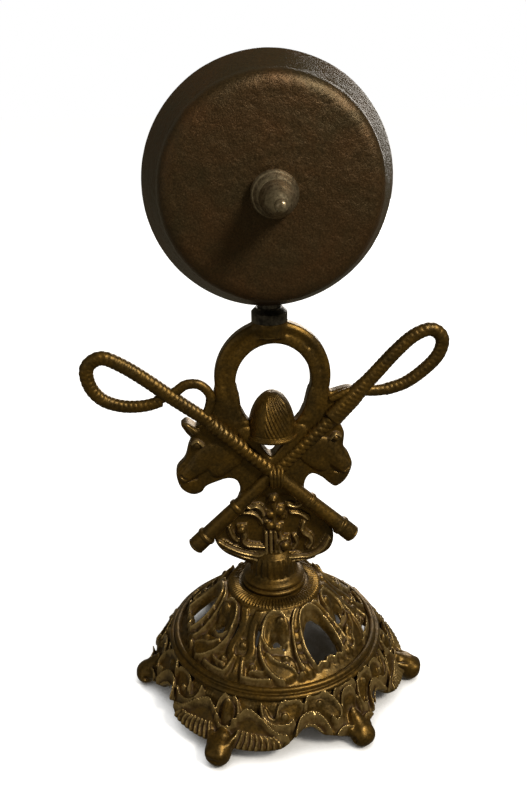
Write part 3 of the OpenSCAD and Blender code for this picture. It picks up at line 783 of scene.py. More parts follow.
def apron_relief():
    """The apron's relief of one half motif, from a snouted foot at -30 to a scrolled foot at 30"""
    m = Relief((-36, 66), (36, 112), RELIEF_STEP, unrolled(APRON_SLOPE))
    line = m.stroke
    # Cabochon in its rim over the snouted foot
    line([(-30, 46.4), (-27, 46.9), (-24.6, 48.7), (-24.3, 51.2), (-26.2, 53.4), (-30, 54.2)], 1.5, 1.9)
    line([(-30, 49.2), (-30, 51.2)], 6.2, 2.7)
    m.ball((-25.6, 52.6), 1.4, 2.6)
    m.ball((-27, 46.9), 1.3, 2.3)
    line([(-30, 55), (-30, 58.6)], 5.4, 1.6, end=8.0)
    # Ribbed wing
    wing = spline([(-24.6, 52), (-20, 50.2), (-15.6, 51), (-10.8, 53), (-6, 54.8), (-1.8, 55.4), (-6, 58.6),
                   (-16, 59.4), (-25, 59.4), (-24.6, 52)], 4)
    m.plateau(wing, 0.8, 1.4)
    line([(-23.4, 51.4), (-19.6, 49.8), (-15.4, 50.6), (-10.8, 52.7), (-6.4, 54.5), (-1.6, 55.3)], 1.7, 2.7,
         end=1.3)
    for i in range(9):
        t = i / 8
        line([(-22.6 + 14.6 * t, 54 + 1.0 * t), (-23.4 + 18 * t, 56 + 0.4 * t),
              (-25 + 20 * t, 58.8 - 1.2 * t)], 1.35, 2.2, end=1.1)
    # Crescent and tongue between the wing and the arch
    pad = spline([(-13.6, 48), (-12.6, 50.5), (-10, 52), (-6.2, 52.8), (-1.6, 52.6), (1.4, 51.4),
                  (3.6, 49.4), (6.6, 48.4), (3.7, 47), (-1.2, 46.9), (-4.4, 48), (-5.6, 49.8), (-9, 49.6),
                  (-11, 47.8), (-13.6, 48)], 4)
    m.plateau(pad, 1.1, 1.5)
    line([(-13.6, 47.9), (-12.6, 50.5), (-10, 52), (-6.2, 52.8), (-1.6, 52.6), (1.4, 51.4)], 1.6, 2.5,
         end=1.2)
    line([(-6, 50.4), (-5.4, 48.6), (-3.4, 47.4), (0.6, 46.8), (4.2, 47.2), (6.4, 48.6)], 1.5, 2.3, end=1.2)
    m.ball((-2.6, 50.4), 1.9, 2.1)
    for i in range(10):
        az = -19 + 1.5 * i
        line([(az, 46.2), (az, 47.5)], 0.8, 0.7)
    # Arch: a double line over the opening
    line([(1.4, 55.6), (2.6, 53.4), (4.6, 51.4), (8, 50.6), (12.2, 51.2), (15.2, 53.2), (16.6, 55.8)], 1.7,
         2.4)
    line([(3, 55.2), (5, 53.4), (8, 52.4), (11.2, 53.4), (13.6, 55.4), (15.2, 57)], 1.4, 1.6)
    # Scrolls towards and over the scrolled foot
    pad = spline([(7, 49.2), (9.4, 47.2), (14.2, 46.9), (19.8, 48.4), (23, 51), (22.6, 53.4), (18.4, 52.4),
                  (13.4, 50.4), (7, 49.2)], 4)
    m.plateau(pad, 1.2, 1.5)
    line([(7, 49.4), (9.2, 47.2), (14.2, 46.7), (19.8, 48.2), (23.2, 51), (23, 53.4), (20.4, 54),
          (18.6, 52.6)], 1.7, 2.7, end=1.4)
    m.ball((14.4, 48.9), 2.0, 1.9)
    line([(22.4, 48.2), (24.6, 46.9), (27.4, 46.4), (30, 46.4)], 1.7, 2.4)
    line([(24.6, 53.8), (25.2, 50.6), (27.4, 49), (30, 48.6)], 1.5, 2.1)
    m.plateau(spline([(23.6, 48.6), (26, 47), (30, 46.8), (33, 47), (33, 51), (30, 51.4), (27, 51),
                      (23.6, 48.6)], 3), 0.9, 1.2)
    line([(17.6, 57.6), (20.4, 56.2), (23.4, 55.8), (26.2, 56.6)], 1.9, 1.8)
    line([(30, 53), (30, 57.6)], 4.6, 1.6, end=6.8)
    m.soften(RELIEF_BLUR)
    return m


# Lower edge of the apron's half motif: (even azimuth, radius)
APRON_EDGE = [(-30, 58), (-26, 57), (-21, 57.2), (-11.4, 56.9), (-5, 56.3), (-1.6, 55.2), (0.8, 54.2),
              (2.9, 53.2), (5.7, 52.3), (8.9, 52.1), (11.5, 53.2), (13.9, 54.6), (18.5, 55.7), (22.9, 56.8),
              (30, 58)]


def cone_height(points):
    """The height of a cone's outer line over a radius"""
    p = points[np.argsort(points[:, 0])]
    return lambda r: np.interp(r, p[:, 0], p[:, 1])


def motif_grid(low, high, azimuths):
    """A field's axes, x, y and radius on its grid, and each place's azimuth in the half motif.
    azimuths says where the motif's steps of 60 degrees lie on the real base."""
    axes = grid_axes(low, high, GRID)
    x, y = np.meshgrid(axes[0], axes[1], indexing="ij")
    azimuth = np.degrees(np.arctan2(x, -y))
    azimuth = np.where(azimuth < azimuths[0], azimuth + 360, azimuth)
    return axes, x, y, np.hypot(x, y), folded(np.interp(azimuth, azimuths, EVEN_AZIMUTHS))


def dome():
    line = spline(bow([RIDGE_R + 0.4, RIDGE_Z - 1.2], [SEAT_R + 0.6, 46.6], 1.6, 12))
    top = cone_height(np.vstack([line, [[SEAT_R - 3, 48.2], [0, 48.2]]]))
    axes, _, _, r, even = motif_grid((-47, -47, 20), (47, 47, 52), DOME_AZIMUTHS)
    m = dome_relief()
    p = m.to(np.stack([even, np.clip(r, 20, 45)], -1))
    lift = RELIEF_GAIN * m.sample(m.h, p[..., 0], p[..., 1])
    cut = m.sample(m.cut, p[..., 0], p[..., 1])
    fade = smooth_step((RIDGE_R - 0.6 - r) / 1.2) * smooth_step((r - SEAT_R - 0.4) / 1.8)
    ground = -0.35 * fade
    upper = top(r) + (lift * fade + ground) / DOME_SLOPE
    lower = top(r) - 2.3 / DOME_SLOPE
    z = axes[2][None, None, :]
    f = smooth_max((z - upper[..., None]) * DOME_SLOPE, (lower[..., None] - z) * DOME_SLOPE, 0.8)
    f = smooth_max(f, cut[..., None] + 0 * z, 0.9)
    f = np.maximum(f, r[..., None] - (RIDGE_R + 0.2))
    f = np.maximum(f, (SEAT_R - 2.5) - r[..., None])
    f = np.maximum(f, RIDGE_Z - 3.2 - z)
    sculpt("base_dome", f, axes, "base_casting")


def segment_distance(p, a, b, ra, rb):
    """Distance to a tapering capsule from a to b, negative inside"""
    a, b = np.asarray(a, float), np.asarray(b, float)
    d = b - a
    t = np.clip(sum((p[i] - a[i]) * d[i] for i in range(3)) / (d @ d), 0, 1)
    q = np.sqrt(sum((p[i] - a[i] - t * d[i]) ** 2 for i in range(3)))
    return q - (ra + (rb - ra) * t)


def foot_field(kind, p):
    """The field of one foot; p is (sideways, outward radius, height)"""
    if kind == "snout":
        f = segment_distance(p, (0, 56, 8.6), (0, 58.8, 6.6), 3.3, 4.7)
        f = smooth_min(f, segment_distance(p, (-0.4, 60.7, 4.9), (0.4, 60.9, 4.8), 5.0, 5.0), 1.8)
        f = smooth_min(f, segment_distance(p, (-2.4, 63.8, 6.6), (2.4, 63.8, 6.6), 1.5, 1.5), 1.4)
        for side in (-1, 1):
            brow = segment_distance(p, (side * 3.8, 59.2, 8.4), (side * 4.4, 56.4, 9.4), 1.5, 1.1)
            f = smooth_min(f, brow, 1.2)
        return smooth_max(f, -segment_distance(p, (-3.2, 66.2, 4.8), (3.2, 66.2, 4.8), 0.8, 0.8), 0.6)
    f = segment_distance(p, (0, 54.5, 9), (0, 57, 6.5), 3.0, 4.1)
    f = smooth_min(f, segment_distance(p, (-0.7, 58.8, 4.4), (0.7, 58.8, 4.4), 4.5, 4.5), 1.4)
    for side in (-1, 1):
        curl = segment_distance(p, (side * 3.9, 57, 6.6), (side * 4.8, 55.4, 8.0), 1.7, 1.3)
        dent = segment_distance(p, (side * 5.0, 59.2, 4.4), (side * 6.2, 59.2, 4.4), 1.3, 1.3)
        f = smooth_max(smooth_min(f, curl, 1.0), -dent, 0.6)
    return f


def apron():
    line = bow([APRON_R + 4, APRON_Z - 5.6], [RIDGE_R + 0.6, RIDGE_Z - 1.4], 0.8, 12)
    top = cone_height(np.vstack([line, [[RIDGE_R - 4, RIDGE_Z + 2]]]))
    axes, x, y, r, even = motif_grid((-69, -69, -2), (69, 69, 28), FOOT_AZIMUTHS)
    m = apron_relief()
    p = m.to(np.stack([even, np.clip(r, 44, 62)], -1))
    lift = RELIEF_GAIN * m.sample(m.h, p[..., 0], p[..., 1]) * smooth_step((r - RIDGE_R - 1.5) / 2.0)
    edge = spline(APRON_EDGE, 6)
    rim = np.interp(even, edge[:, 0], edge[:, 1])
    z = axes[2][None, None, :]
    upper = (top(r) + (lift - 0.3) / APRON_SLOPE)[..., None]
    lower = (top(r) - 2.6 / APRON_SLOPE)[..., None]
    f = smooth_max((z - upper) * APRON_SLOPE, (lower - z) * APRON_SLOPE, 0.8)
    lean = APRON_SLOPE * math.sqrt(1 - APRON_SLOPE ** 2)
    along = (r - rim)[..., None] + lean * (top(r)[..., None] - z)  # the edge is cut square to the surface
    f = smooth_max(f, 1.3 * along, 1.0)
    f = np.maximum(f, RIDGE_R - 1.6 - r[..., None])
    for kind, places in FEET.items():
        for az in places:
            a = math.radians(az)
            out = x * math.sin(a) - y * math.cos(a)
            side = x * math.cos(a) + y * math.sin(a)
            i, j = np.nonzero((np.abs(side) < 9) & (out > 45))
            i0, i1, j0, j1 = i.min(), i.max() + 1, j.min(), j.max() + 1
            local = (side[i0:i1, j0:j1, None], out[i0:i1, j0:j1, None], z)
            f[i0:i1, j0:j1] = smooth_min(f[i0:i1, j0:j1], foot_field(kind, local), 1.8)
    f = np.maximum(f, -z)
    sculpt("base_apron", f, axes, "base_casting")


def base_rings():
    """The gadrooned seat on top of the dome, and the two beads along the ridge"""
    step = 0.25
    seat_z = box_mm("base_casting")[1][2]
    profile = np.add([[0.01, -0.1], [14.2, -0.1], [14.6, -0.35], [15.1, -0.05], [17.5, -0.1], [19.3, -0.7],
                      [20.2, -1.4], [20.7, -2.2], [20.6, -2.9], [19.8, -3.4], [18, -3.4], [0.01, -3.0]],
                     [0, seat_z])

    def gadroons(angle, height, radius):
        mask = smooth_step((radius - 15.0) / 0.6) * smooth_step((20.2 - radius) / 0.6)
        return 0.26 * (mask * (height > seat_z - 2.6)) * np.cos(84 * angle)

    verts, faces = lathe(resample(profile, step), 840, swell=gadroons)
    cast_piece("base_seat", verts, faces, "base_casting")
    beads = np.vstack([arc(43.7, 24.9, 1.3, 1.3, 200, -10, 12), arc(45.9, 23.0, 1.25, 1.25, 120, -70, 12),
                       [[45.0, 20.9], [42.6, 22.1]]])
    verts, faces = lathe(resample(np.vstack([beads, beads[:1]]), step)[:-1], 300, closed=True,
                         swell=uneven(0.07, 5, 21))
    cast_piece("base_ridge", verts, faces, "base_casting")


# ---------------------------------------------------------------- stand

RIGHT_OUTLINE = [(19, 138), (23.4, 137), (31.8, 138.6), (36, 134.8), (31, 129), (27.7, 124.8),
                 (28.2, 122.4), (29.8, 118.5), (29.6, 112.4), (32, 108.4), (33.3, 103.6), (31, 97.4),
                 (26.8, 94), (23.6, 95.8), (20.8, 98.5), (16.8, 100.6), (14.2, 98.6), (13.3, 94),
                 (15.2, 87.8), (19.2, 82.8), (24.8, 75), (25.9, 68), (23.1, 62.4), (14.4, 58.7), (8, 56.5)]
LEFT_OUTLINE = [(-8, 56.5), (-12, 59.5), (-20.6, 64.5), (-24.8, 70.5), (-24.4, 77.3), (-19, 83.6),
                (-14.8, 88.6), (-13.5, 94.4), (-14.8, 99.2), (-18.4, 100.6), (-23, 99.4), (-27.4, 97.6),
                (-29.6, 94.9), (-33.4, 94.1), (-37.6, 96.8), (-39.4, 102), (-39, 106.6), (-35.6, 110.8),
                (-34, 116), (-32.8, 119.6), (-34.6, 122.4), (-36.4, 126.2), (-33.6, 127), (-30, 125.2),
                (-25.2, 129.6), (-23.4, 134), (-22.3, 139.4), (-19, 141)]
PLATE_HALF, SHOE_HALF = 3.0, 3.5


def head_relief(m, side):
    """One horse head in profile: side is 1 for the right head and -1 for the left one"""
    reach = 0.0 if side > 0 else 6.6  # the left head is longer
    poll, cheek, face, nose, eye, mouth, jaw = [
        (side * (x + reach * (x - 14) / 18), z) for x, z in
        [(17, 112), (22, 112), (26.5, 107), (29.8, 103.4), (26, 117.5), (28, 98.8), (20, 106)]]

    def near(place, x, z):
        return place[0] + side * x, place[1] + z

    m.stroke([poll, cheek, face], 13, 1.3, end=7)
    m.stroke([face, nose], 7, 1.5, end=5.5)
    m.stroke([jaw, near(jaw, -4, 4)], 8, 1.2, end=9)
    m.ball(eye, 1.7, 2.3)
    m.stroke([near(eye, -2.4, -0.4), near(eye, -0.2, 1.9), near(eye, 2.0, 0.4)], 1.1, 2.2)
    m.groove([near(nose, 1.6, 0.2), near(nose, 0.2, -0.9)], 1.3, 0.8)
    m.groove([near(mouth, 1.4, 2.2), near(mouth, -2.2, 3.1)], 0.9, 0.6)
    if side < 0:
        m.stroke([(-31, 123.2), (-33.4, 126.2), (-36, 128.6)], 3.4, 1.6, end=1.4)


def shield_relief(m):
    """Scrolls, acanthus and flutes of the shield below the crossing"""
    # Ground sunk inside a raised border
    for s in (-1, 1):
        m.plateau([(s * 2, 92), (s * 9, 92), (s * 14.5, 88), (s * 18, 82), (s * 22, 74.5), (s * 22.2, 69),
                   (s * 18, 65.2), (s * 10, 62.8), (s * 3, 62.5)], -0.9, 3.0)
    m.ball((0, 91), 2.2, 2.4)
    m.ball((0, 91), 0.9, 2.9)
    for x, z, r, h in ((2.6, 84.6, 2.3, 2.2), (-1.2, 83.2, 1.9, 2.0), (-1.4, 78, 2.2, 2.4),
                       (2.0, 76.4, 1.8, 2.0), (3.8, 82.2, 1.4, 1.6), (-3.0, 80.2, 1.3, 1.5)):
        m.ball((x, z), r, h)
    m.stroke([(0, 88.6), (0.6, 85), (0, 81), (0.5, 78), (2.6, 73.6), (2.8, 71.6)], 2.2, 1.7, end=1.3)
    m.stroke([(-14.5, 91.2), (-12.2, 88.6), (-10, 87.2), (-7.4, 87.6), (-5, 85.8), (-4.2, 83)], 1.5, 1.8,
             end=1.1)
    m.stroke([(-13.2, 84.6), (-9, 84), (-6, 81.8), (-4.6, 79)], 1.1, 1.0, end=0.7)
    m.ball((-13.6, 76.6), 1.9, 2.2)
    m.stroke([(-13.4, 76), (-12.2, 73.4), (-13, 70.8), (-11, 68.8), (-7.5, 68.2), (-4.2, 67.6)], 1.5, 1.8,
             end=1.2)
    m.stroke([(-23.4, 71), (-19, 67.8), (-13.4, 65), (-7.4, 63.6), (-3.6, 65.2)], 2.0, 1.6, end=1.5)
    m.stroke([(-21, 67.2), (-12, 62.6), (-5.5, 61.4)], 1.6, 1.5)
    m.stroke([(-19, 78), (-17.6, 73.6), (-15.6, 71)], 1.0, 0.9)
    for x, width in ((-3.4, 1.5), (-1.4, 1.4), (0.6, 1.5)):
        m.stroke([(x, 75), (x + 0.1, 66), (x - 0.1, 57)], width, 1.9)
    m.ball((4.6, 67.6), 2.3, 2.7)
    m.stroke([(5.6, 71.4), (2.6, 70.4), (1.7, 67.4), (3.0, 64.4), (6.4, 62.6), (11, 61.6), (16.4, 62),
              (21, 65), (23.8, 70.4)], 2.1, 2.0, end=1.5)
    m.stroke([(6.5, 60.4), (12, 59.6), (17.4, 60.8)], 1.5, 1.3)
    m.stroke([(12, 75), (13, 73), (15.2, 71.2), (16.2, 68.6), (14.6, 65.8)], 1.7, 1.9, end=1.0)
    m.stroke([(13, 78.6), (12.2, 76.4), (12.6, 74)], 1.2, 1.3)
    m.stroke([(6.2, 87.4), (9, 86.4), (11.8, 87.2), (13.2, 88.6)], 1.5, 1.5)
    m.stroke([(7.6, 83.4), (11.4, 82.4), (14.6, 79.6)], 1.2, 1.0, end=0.8)
    m.stroke([(8.6, 72), (9.8, 68.4), (8.2, 65.6)], 1.1, 0.9)


def stand_body():
    low, high = (-42, -9, 52), (36, 8, 170)
    axes = grid_axes(low, high, GRID)
    x, z = np.meshgrid(axes[0], axes[2], indexing="ij")
    right, left = spline(RIGHT_OUTLINE, 6), spline(LEFT_OUTLINE, 6)
    plate = polygon_distance(x, z, np.vstack([right, left]))
    shoe_outer = polygon_distance(x, z, np.vstack([arc(0.8, 144, 23.1, 23.8, -25, 205, 60),
                                                   [[-17, 124], [17, 124]]]))
    shoe_inner = polygon_distance(x, z, np.vstack([
        arc(1, 142.3, 15, 16.3, -20, 200, 60),
        [[-12.6, 131.4], [-10.6, 127.2], [-8.6, 124.5], [9.8, 124.5], [12, 127.2], [14, 131.4]]]))
    shoe = np.maximum(shoe_outer, -shoe_inner)
    gap = polygon_distance(x, z, spline([(-5.5, 118), (4.8, 118), (2.6, 113.6), (-0.4, 110.4),
                                         (-3.4, 113.6), (-5.5, 118)], 5))
    front, rear = [Relief(low[::2], high[::2], GRID) for _ in range(2)]
    shield_relief(front)
    for side in (-1, 1):
        head_relief(front, side)
    # Neck of the cap: a dished V with a soft lip round the small gap
    front.stroke([(-10.5, 121), (-7, 114.5), (-0.4, 108), (7, 114.5), (11.5, 121)], 6.4, 1.2)
    # The back has the same relief, and there the whips show as low cast ridges
    rear.h = front.h.copy()
    rear.stroke([(30.5, 75.4), (-25.5, 129)], 5.4, 1.9)
    rear.stroke([(-30, 72), (29, 130.5)], 5.4, 1.9)
    swollen = 0.5 * smooth_step(-plate / 5)
    waist = 3.6 * smooth_step((68 - z) / 12) * smooth_step((11 - np.abs(x)) / 7)
    y = axes[1][None, :, None]

    def slab(outline, half_front, half_back, edge):
        """A plate of that outline whose faces and rounded edges follow the two half thicknesses"""
        w = np.where(y < 0, -y - half_front[:, None, :], y - half_back[:, None, :]) + edge
        d = outline[:, None, :] + edge
        return np.minimum(np.maximum(w, d), 0) + np.hypot(np.maximum(w, 0), np.maximum(d, 0)) - edge

    thick = PLATE_HALF - 0.3 + swollen + waist
    body = slab(np.maximum(np.maximum(plate, -gap), -shoe_inner), thick + front.h, thick + rear.h, 1.2)
    dish = 0.55 * np.exp(-((shoe_outer + 3.7) / 1.5) ** 2)
    bevel = 0.9 * smooth_step((shoe_outer + 2.2) / 2.2)
    inner_bevel = 0.5 * smooth_step((1.2 - np.abs(shoe_inner)) / 1.2)
    half = SHOE_HALF - dish - bevel - inner_bevel
    for i in range(8):  # nail holes round the shoe
        a = math.radians(200 - 31.4 * i)
        cx, cz = 1.1 + 18.9 * math.cos(a), 143.4 + 19.8 * math.sin(a)
        half = half - 0.45 * np.exp(-(((x - cx) * math.cos(a) + (z - cz) * math.sin(a)) / 0.6) ** 2
                                    - (((z - cz) * math.cos(a) - (x - cx) * math.sin(a)) / 1.1) ** 2)
    ring = slab(shoe, half, half, 0.8)
    f = smooth_min(body, ring, 2.2)
    xx, zz = x[:, None, :], z[:, None, :]
    boss = np.maximum(np.hypot(xx, y) - 6.4 + 0.5 * np.abs(zz - 165.4) / 4, np.abs(zz - 164.4) - 3.0)
    f = smooth_min(f, boss, 2.0)
    f = np.maximum(f, 55.4 - zz)
    sculpt("stand_frame", f, axes, "stand_casting")


def stand_foot():
    low = box_mm("stand_casting")[0][2]
    profile = np.add([[0.01, 0], [13.2, 0], [13.9, 0.5], [14.0, 1.3], [13.5, 1.9], [12.9, 2.1], [13.2, 2.5],
                      [13.3, 3.4], [12.9, 4.2], [12.0, 4.9], [10.8, 5.6], [10.2, 6.2], [10.0, 7.2],
                      [9.9, 9.5], [9.6, 12], [8.6, 14.6], [6.4, 16.4], [3, 17.2], [0.01, 17.4]], [0, low])

    def flutes(angle, height, radius):
        mask = smooth_step((height - low - 5.8) / 1.5) * smooth_step((low + 15 - height) / 2.5)
        return 0.32 * mask * np.cos(22 * angle) * (radius > 6)

    verts, faces = lathe(resample(profile, 0.25), 264, swell=flutes)
    cast_piece("stand_foot", verts, faces, "stand_casting")


def jockey_cap():
    low, top = 119.0, 138.6
    dome_line = arc(0, low + 1.6, 9.8, top - low - 1.6, 90, 0, 30)
    dome_line[0, 0] = 0.01
    profile = np.vstack([dome_line, [[10.1, low + 1.5], [10.5, low + 1.2], [10.6, low + 0.6],
                                     [10.3, low + 0.1], [9.4, low - 0.1], [0.01, low - 0.1]]])
    # the left seam of the front panel, and the width of a panel
    seam, panel = math.radians(-26), math.radians(72)

    def panels(angle, height, radius):
        t = np.clip((height - low - 1.9) / 2, 0, 1) * np.clip((top - 0.8 - height) / 2.5, 0, 1)
        turn = np.mod(angle - seam, panel) / panel
        puff = 0.35 * np.sin(np.pi * turn) ** 0.6 - 0.15
        front = np.mod(angle - seam + np.pi, 2 * np.pi) - np.pi
        share = front / panel
        inside = smooth_step(share / 0.12) * smooth_step((1 - share) / 0.12)
        across = (2.4 * (front - panel / 2) * 9 + height - low) / 2.6
        ribs = 0.27 * inside * np.cos(2 * np.pi * across / 1.35)
        band = 0.18 * np.exp(-((height - low - 2.6) / 0.4) ** 2)
        button = 0.35 * np.exp(-(radius / 1.1) ** 2)
        return t * (puff + ribs) + band + button

    verts, faces = lathe(resample(profile, 0.22), 330, swell=panels)
    verts = verts + [0.3, -1.0, 0]
    cast_piece("stand_cap", verts, faces, "stand_casting")


WHIP_Y = -3.5
HANDLES = {"right": ((34.4, 70.6), (-26, 128.2)), "left": ((-34.2, 68.9), (29, 130.5))}
LOOPS = {
    "left": [(-24.4, 127), (-38.8, 138.2), (-48.2, 146), (-57.5, 152.8), (-65.2, 156.2), (-70.9, 152.5),
             (-70.5, 145), (-66, 138.8), (-58.5, 135.7), (-50, 135.4), (-43, 137.2)],
    "right": [(24, 125.5), (34, 136.5), (41, 144), (49, 152.9), (56.3, 159.4), (63.2, 161.7),
              (67.8, 157.7), (66.6, 151), (61, 144.7), (53.6, 139.5), (45, 136.9)],
}
TAILS = {
    "left": [(-46, 137), (-38, 140.6), (-33.5, 143.5), (-28, 143.2), (-24.2, 138.5), (-25.4, 132),
             (-28.2, 127.2)],
    "right": [(49, 137.6), (42, 137), (35, 137.4), (29, 136.6), (23, 134)],
}
# Radius of each thong and tail over its length
LOOP_SIZES = {
    "left": [(0, 2.7), (0.2, 2.85), (0.42, 2.8), (0.55, 2.75), (0.75, 2.6), (1, 2.3)],
    "right": [(0, 4.0), (0.13, 3.9), (0.22, 3.0), (0.42, 2.8), (0.55, 2.7), (0.75, 2.65), (1, 2.5)],
}
TAIL_SIZES = {"left": [(0, 2.0), (0.4, 2.0), (1, 1.8)], "right": [(0, 2.4), (0.5, 2.2), (1, 1.4)]}


def tube_size(marks):
    """A radius that follows (distance, radius) marks"""
    s, r = zip(*marks)
    return lambda d: np.interp(d, s, r)


def ends_round(s, length, r):
    """Rounds both ends of a tube of radius r"""
    t = np.clip(np.minimum(s, length - s) / (0.6 * r), 0, 1)
    return np.sqrt(np.clip(1 - (1 - t) ** 2, 0.02, 1))


def braided(angle, along, pitch, share):
    """Two sets of strands wound against each other; share is the weight of the first"""
    first, second = [np.abs(np.sin(1.5 * angle + turn * np.pi * along / pitch)) ** 0.7 for turn in (1, -1)]
    return share * first + (1 - share) * second - 0.5


def whip_handle(start, end, y):
    """A handle with a ringed end cap, a plain grip and a braided upper half"""
    a, b = np.array([start[0], y, start[1]]), np.array([end[0], y, end[1]])
    length = np.linalg.norm(b - a)
    path = resample(np.array([a, b]), 0.28)
    size = tube_size([(0, 3.5), (0.5, 3.9), (1.4, 3.95), (1.9, 3.5), (2.4, 3.8), (7.0, 3.75), (7.4, 4.2),
                      (8.6, 4.2), (9.2, 3.4), (22, 3.2), (25.5, 3.1), (26.0, 3.7), (27.4, 3.7), (28, 3.1),
                      (42, 2.95), (length - 30, 2.9), (length, 2.9)])

    def radius(s, angle):
        braid = smooth_step((s - 47) / 4)
        return (size(s) + 0.6 * braid * braided(angle, s, 2.6, 0.62)) * ends_round(s, length, 3.0)

    return sweep(path, radius, 32)


def whip_thong(points, marks, y0, y1, braid):
    p = spline(points, 10)
    s = np.r_[0, np.cumsum(np.hypot(*np.diff(p, axis=0).T))]
    path = np.column_stack([p[:, 0], y0 + (y1 - y0) * smooth_step(s / s[-1]), p[:, 1]])
    path = resample(path, 0.32)
    length = s[-1]
    size = tube_size([(t * length, r) for t, r in marks])

    def radius(q, angle):
        return size(q) * (1 + braid * braided(angle, q, 2.0, 0.6)) * ends_round(q, length, 1.6)

    return sweep(path, radius, 24, flat=0.85)


def whips():
    """Each whip is one piece: the handle from one side ends in the loop on the other side"""
    for loop_side, handle_side, lean in (("left", "right", -0.5), ("right", "left", 0.4)):
        handle = whip_handle(*HANDLES[handle_side], WHIP_Y + lean)
        thong = whip_thong(LOOPS[loop_side], LOOP_SIZES[loop_side], -3.4, -2.6, 0.11)
        tail = whip_thong(TAILS[loop_side], TAIL_SIZES[loop_side], -2.8, -3.4, 0.05)
        verts, faces = join([handle, thong, tail])
        cast_piece("whip_" + loop_side, verts, faces, "stand_casting")


def whip_wrap():
    """Four strands bound over the crossing"""
    parts = []
    for i in range(4):
        x = -0.9 + 1.4 * i
        t = np.linspace(-0.1, np.pi + 0.1, 26)
        lean = 0.3 * (i - 1.5)
        path = np.column_stack([x + 0.6 * lean * np.cos(t), -2.6 - 5.1 * np.abs(np.sin(t)) ** 0.75,
                                101.4 + 4.6 * np.cos(t)])
        parts.append(sweep(resample(path, 0.35), lambda s, a: 0.85 + 0.05 * np.cos(5 * a + 2.5 * s), 16,
                           up=(1, 0, 0)))
    verts, faces = join(parts)
    cast_piece("whip_wrap", verts, faces, "stand_casting")


# ---------------------------------------------------------------- striker


SPRING_Y = 8.4  # the coil lies in the middle of the hammer arm's thickness


def return_spring():
    low, high = box_mm("return_spring")
    x, y = (low[0] + high[0]) / 2, SPRING_Y
    wire, coil_r = 0.3, 1.25
    post_z, tail_z = 189.0, 207.3
    turns, coil_low, coil_high = 14, 193.4, 202.4
    lower = arc(0, post_z, 1.6, 1.6, -80, 90, 16)
    t = np.linspace(0, 1, turns * 20 + 1)
    turned = 2 * np.pi * turns * t
    coil = np.column_stack([x + coil_r * np.sin(turned), y - coil_r * np.cos(turned),
                            coil_low + (coil_high - coil_low) * t])
    hook_low = np.column_stack([x + lower[:, 0], np.full(len(lower), y), lower[:, 1]])
    upper = arc(y, tail_z - 1.4, 1.4, 1.4, 270, 470, 18)
    hook_high = np.column_stack([np.full(len(upper), x), upper[:, 0], upper[:, 1]])
    rise = spline([hook_low[-1], [x, y - 0.1, post_z + 2.6], [x, y - coil_r, coil_low - 0.4]], 6)
    leave = spline([[x, y - coil_r, coil_high + 0.3], [x, y - 0.2, coil_high + 0.9], hook_high[0]], 6)
    path = np.vstack([hook_low[:-1], rise[:-1], coil, leave[1:-1], hook_high])
    path = resample(path, 0.3)
    parts = sweep(path, lambda s, a: wire + 0 * s, 10, up=(0.31, 0.87, 0.38))
    obj = make_object("return_spring_coil", *parts, STEEL)
    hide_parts("return_spring")
    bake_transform(obj)


SOFT_EDGE, SOFT_ANGLE = 0.22, 40  # rounding of the kept pieces in mm, on edges sharper than this in degrees
KEPT = {"tie_stud": DARK_STEEL, "base_washer": STEEL, "base_nut": DARK_STEEL, "post_collar": DARK_STEEL,
        "gong_post": DARK_STEEL, "gong_stud": STEEL, "stud_nut": STEEL, "stud_spacer": STEEL,
        "inner_washer": LEATHER, "outer_washer": LEATHER, "mechanism_plate": DARK_STEEL,
        "plate_screws": STEEL, "lever": DARK_STEEL, "lever_pin": STEEL, "hammer_arm": DARK_STEEL,
        "hammer_head": BRASS, "hammer_pivot_screw": STEEL, "stop_pin": STEEL, "spring_post": STEEL}


def dress_cad_nodes():
    """Materials and softened edges for the CAD pieces that stay"""
    for name, material in KEPT.items():
        obj = NODES[name]
        obj.data.materials.clear()
        obj.data.materials.append(material)
        soft = obj.modifiers.new("soft_edges", "BEVEL")
        soft.width = SOFT_EDGE * MM
        soft.segments = 2
        soft.limit_method = "ANGLE"
        soft.angle_limit = math.radians(SOFT_ANGLE)


# ---------------------------------------------------------------- camera, light and floor

CAMERA_AZIMUTH, CAMERA_HEIGHT, CAMERA_ROLL = -4.6, 23.1, -1.2  # degrees
CAMERA_DISTANCE, CAMERA_AIM_X, CAMERA_AIM_Z = 0.344, -0.0029, 0.134
LENS, SENSOR = 38.59, 36.0
FLOOR_GLOW = 0.93  # keeps the floor nearly white while the light on the metal stays low
AIR_LIGHT, AIR_TINT = 0.16, (1.0, 0.9, 0.64)  # what the air gives the metal; the camera sees it white
KEY_POWER, FILL_POWER, BACK_POWER = 9.0, 0.7, 7.0  # watts


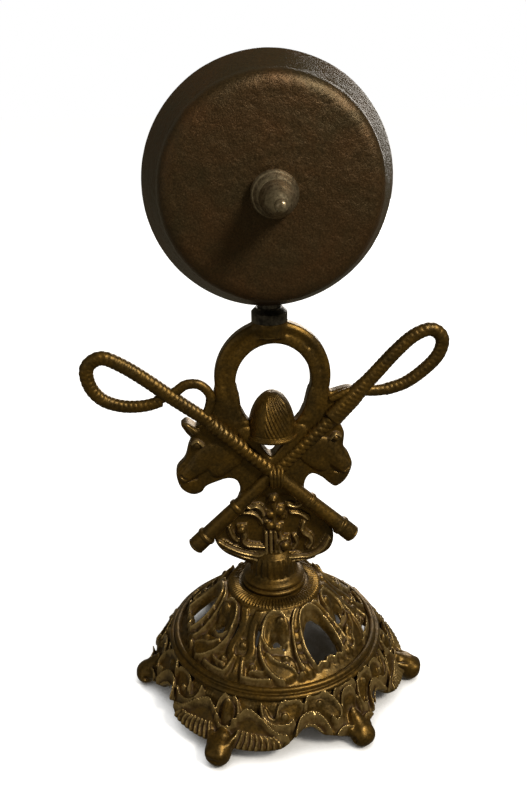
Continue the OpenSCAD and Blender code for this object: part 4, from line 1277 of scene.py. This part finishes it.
def camera():
    az, el, roll = (math.radians(v) for v in (CAMERA_AZIMUTH, CAMERA_HEIGHT, CAMERA_ROLL))
    back = Vector((math.sin(az) * math.cos(el), -math.cos(az) * math.cos(el), math.sin(el)))
    aim = Vector((CAMERA_AIM_X * math.cos(az), CAMERA_AIM_X * math.sin(az), CAMERA_AIM_Z))
    right = (-back).cross(Vector((0, 0, 1))).normalized()
    up = right.cross(-back)
    right, up = math.cos(roll) * right + math.sin(roll) * up, math.cos(roll) * up - math.sin(roll) * right
    data = bpy.data.cameras.new("camera")
    data.lens, data.sensor_width, data.clip_start = LENS, SENSOR, 0.01
    obj = bpy.data.objects.new("camera", data)
    turn = Matrix((right, up, back)).transposed().to_4x4()
    obj.matrix_world = Matrix.Translation(aim + back * CAMERA_DISTANCE) @ turn
    bpy.context.scene.collection.objects.link(obj)
    bpy.context.scene.camera = obj


def area_light(name, place_at, aim, size, power, colour):
    data = bpy.data.lights.new(name, "AREA")
    data.shape, data.size, data.energy, data.color = "DISK", size, power, colour
    obj = bpy.data.objects.new(name, data)
    obj.location = place_at
    obj.rotation_euler = (Vector(aim) - Vector(place_at)).to_track_quat("-Z", "Y").to_euler()
    bpy.context.scene.collection.objects.link(obj)


def studio():
    scene = bpy.context.scene
    scene.view_settings.view_transform = "Standard"
    bpy.ops.mesh.primitive_grid_add(x_subdivisions=8, y_subdivisions=8, size=6.0, location=(0, 0, -0.0002))
    floor = bpy.context.object
    floor.name = "floor"
    floor.data.materials.append(plain_stage("pale_floor", (0.55, 0.55, 0.55), 0.9, FLOOR_GLOW))
    floor.visible_diffuse = False
    floor.visible_glossy = False
    world = bpy.data.worlds.new("studio_air")
    scene.world = world
    world.use_nodes = True
    tree = world.node_tree
    seen = add(tree, "ShaderNodeLightPath").outputs["Is Camera Ray"]
    air = tree.nodes["Background"]
    link(tree, mix(tree, seen, AIR_TINT, (1.0, 1.0, 1.0)), air.inputs[0])
    link(tree, remap(tree, seen, 0.0, 1.0, AIR_LIGHT, 1.0), air.inputs[1])
    area_light("key", (0.42, -0.5, 0.75), (0, 0, 0.15), 0.22, KEY_POWER, (1.0, 0.93, 0.82))
    area_light("fill", (-0.8, -0.6, 0.4), (0, 0, 0.12), 0.8, FILL_POWER, (1.0, 0.97, 0.93))
    area_light("back", (0.35, 1.1, 0.35), (0, 0, 0.12), 0.7, BACK_POWER, (1.0, 0.96, 0.9))


studio()
camera()
gong()
finial()
dome()
apron()
base_rings()
stand_body()
stand_foot()
jockey_cap()
whips()
whip_wrap()
return_spring()
dress_cad_nodes()
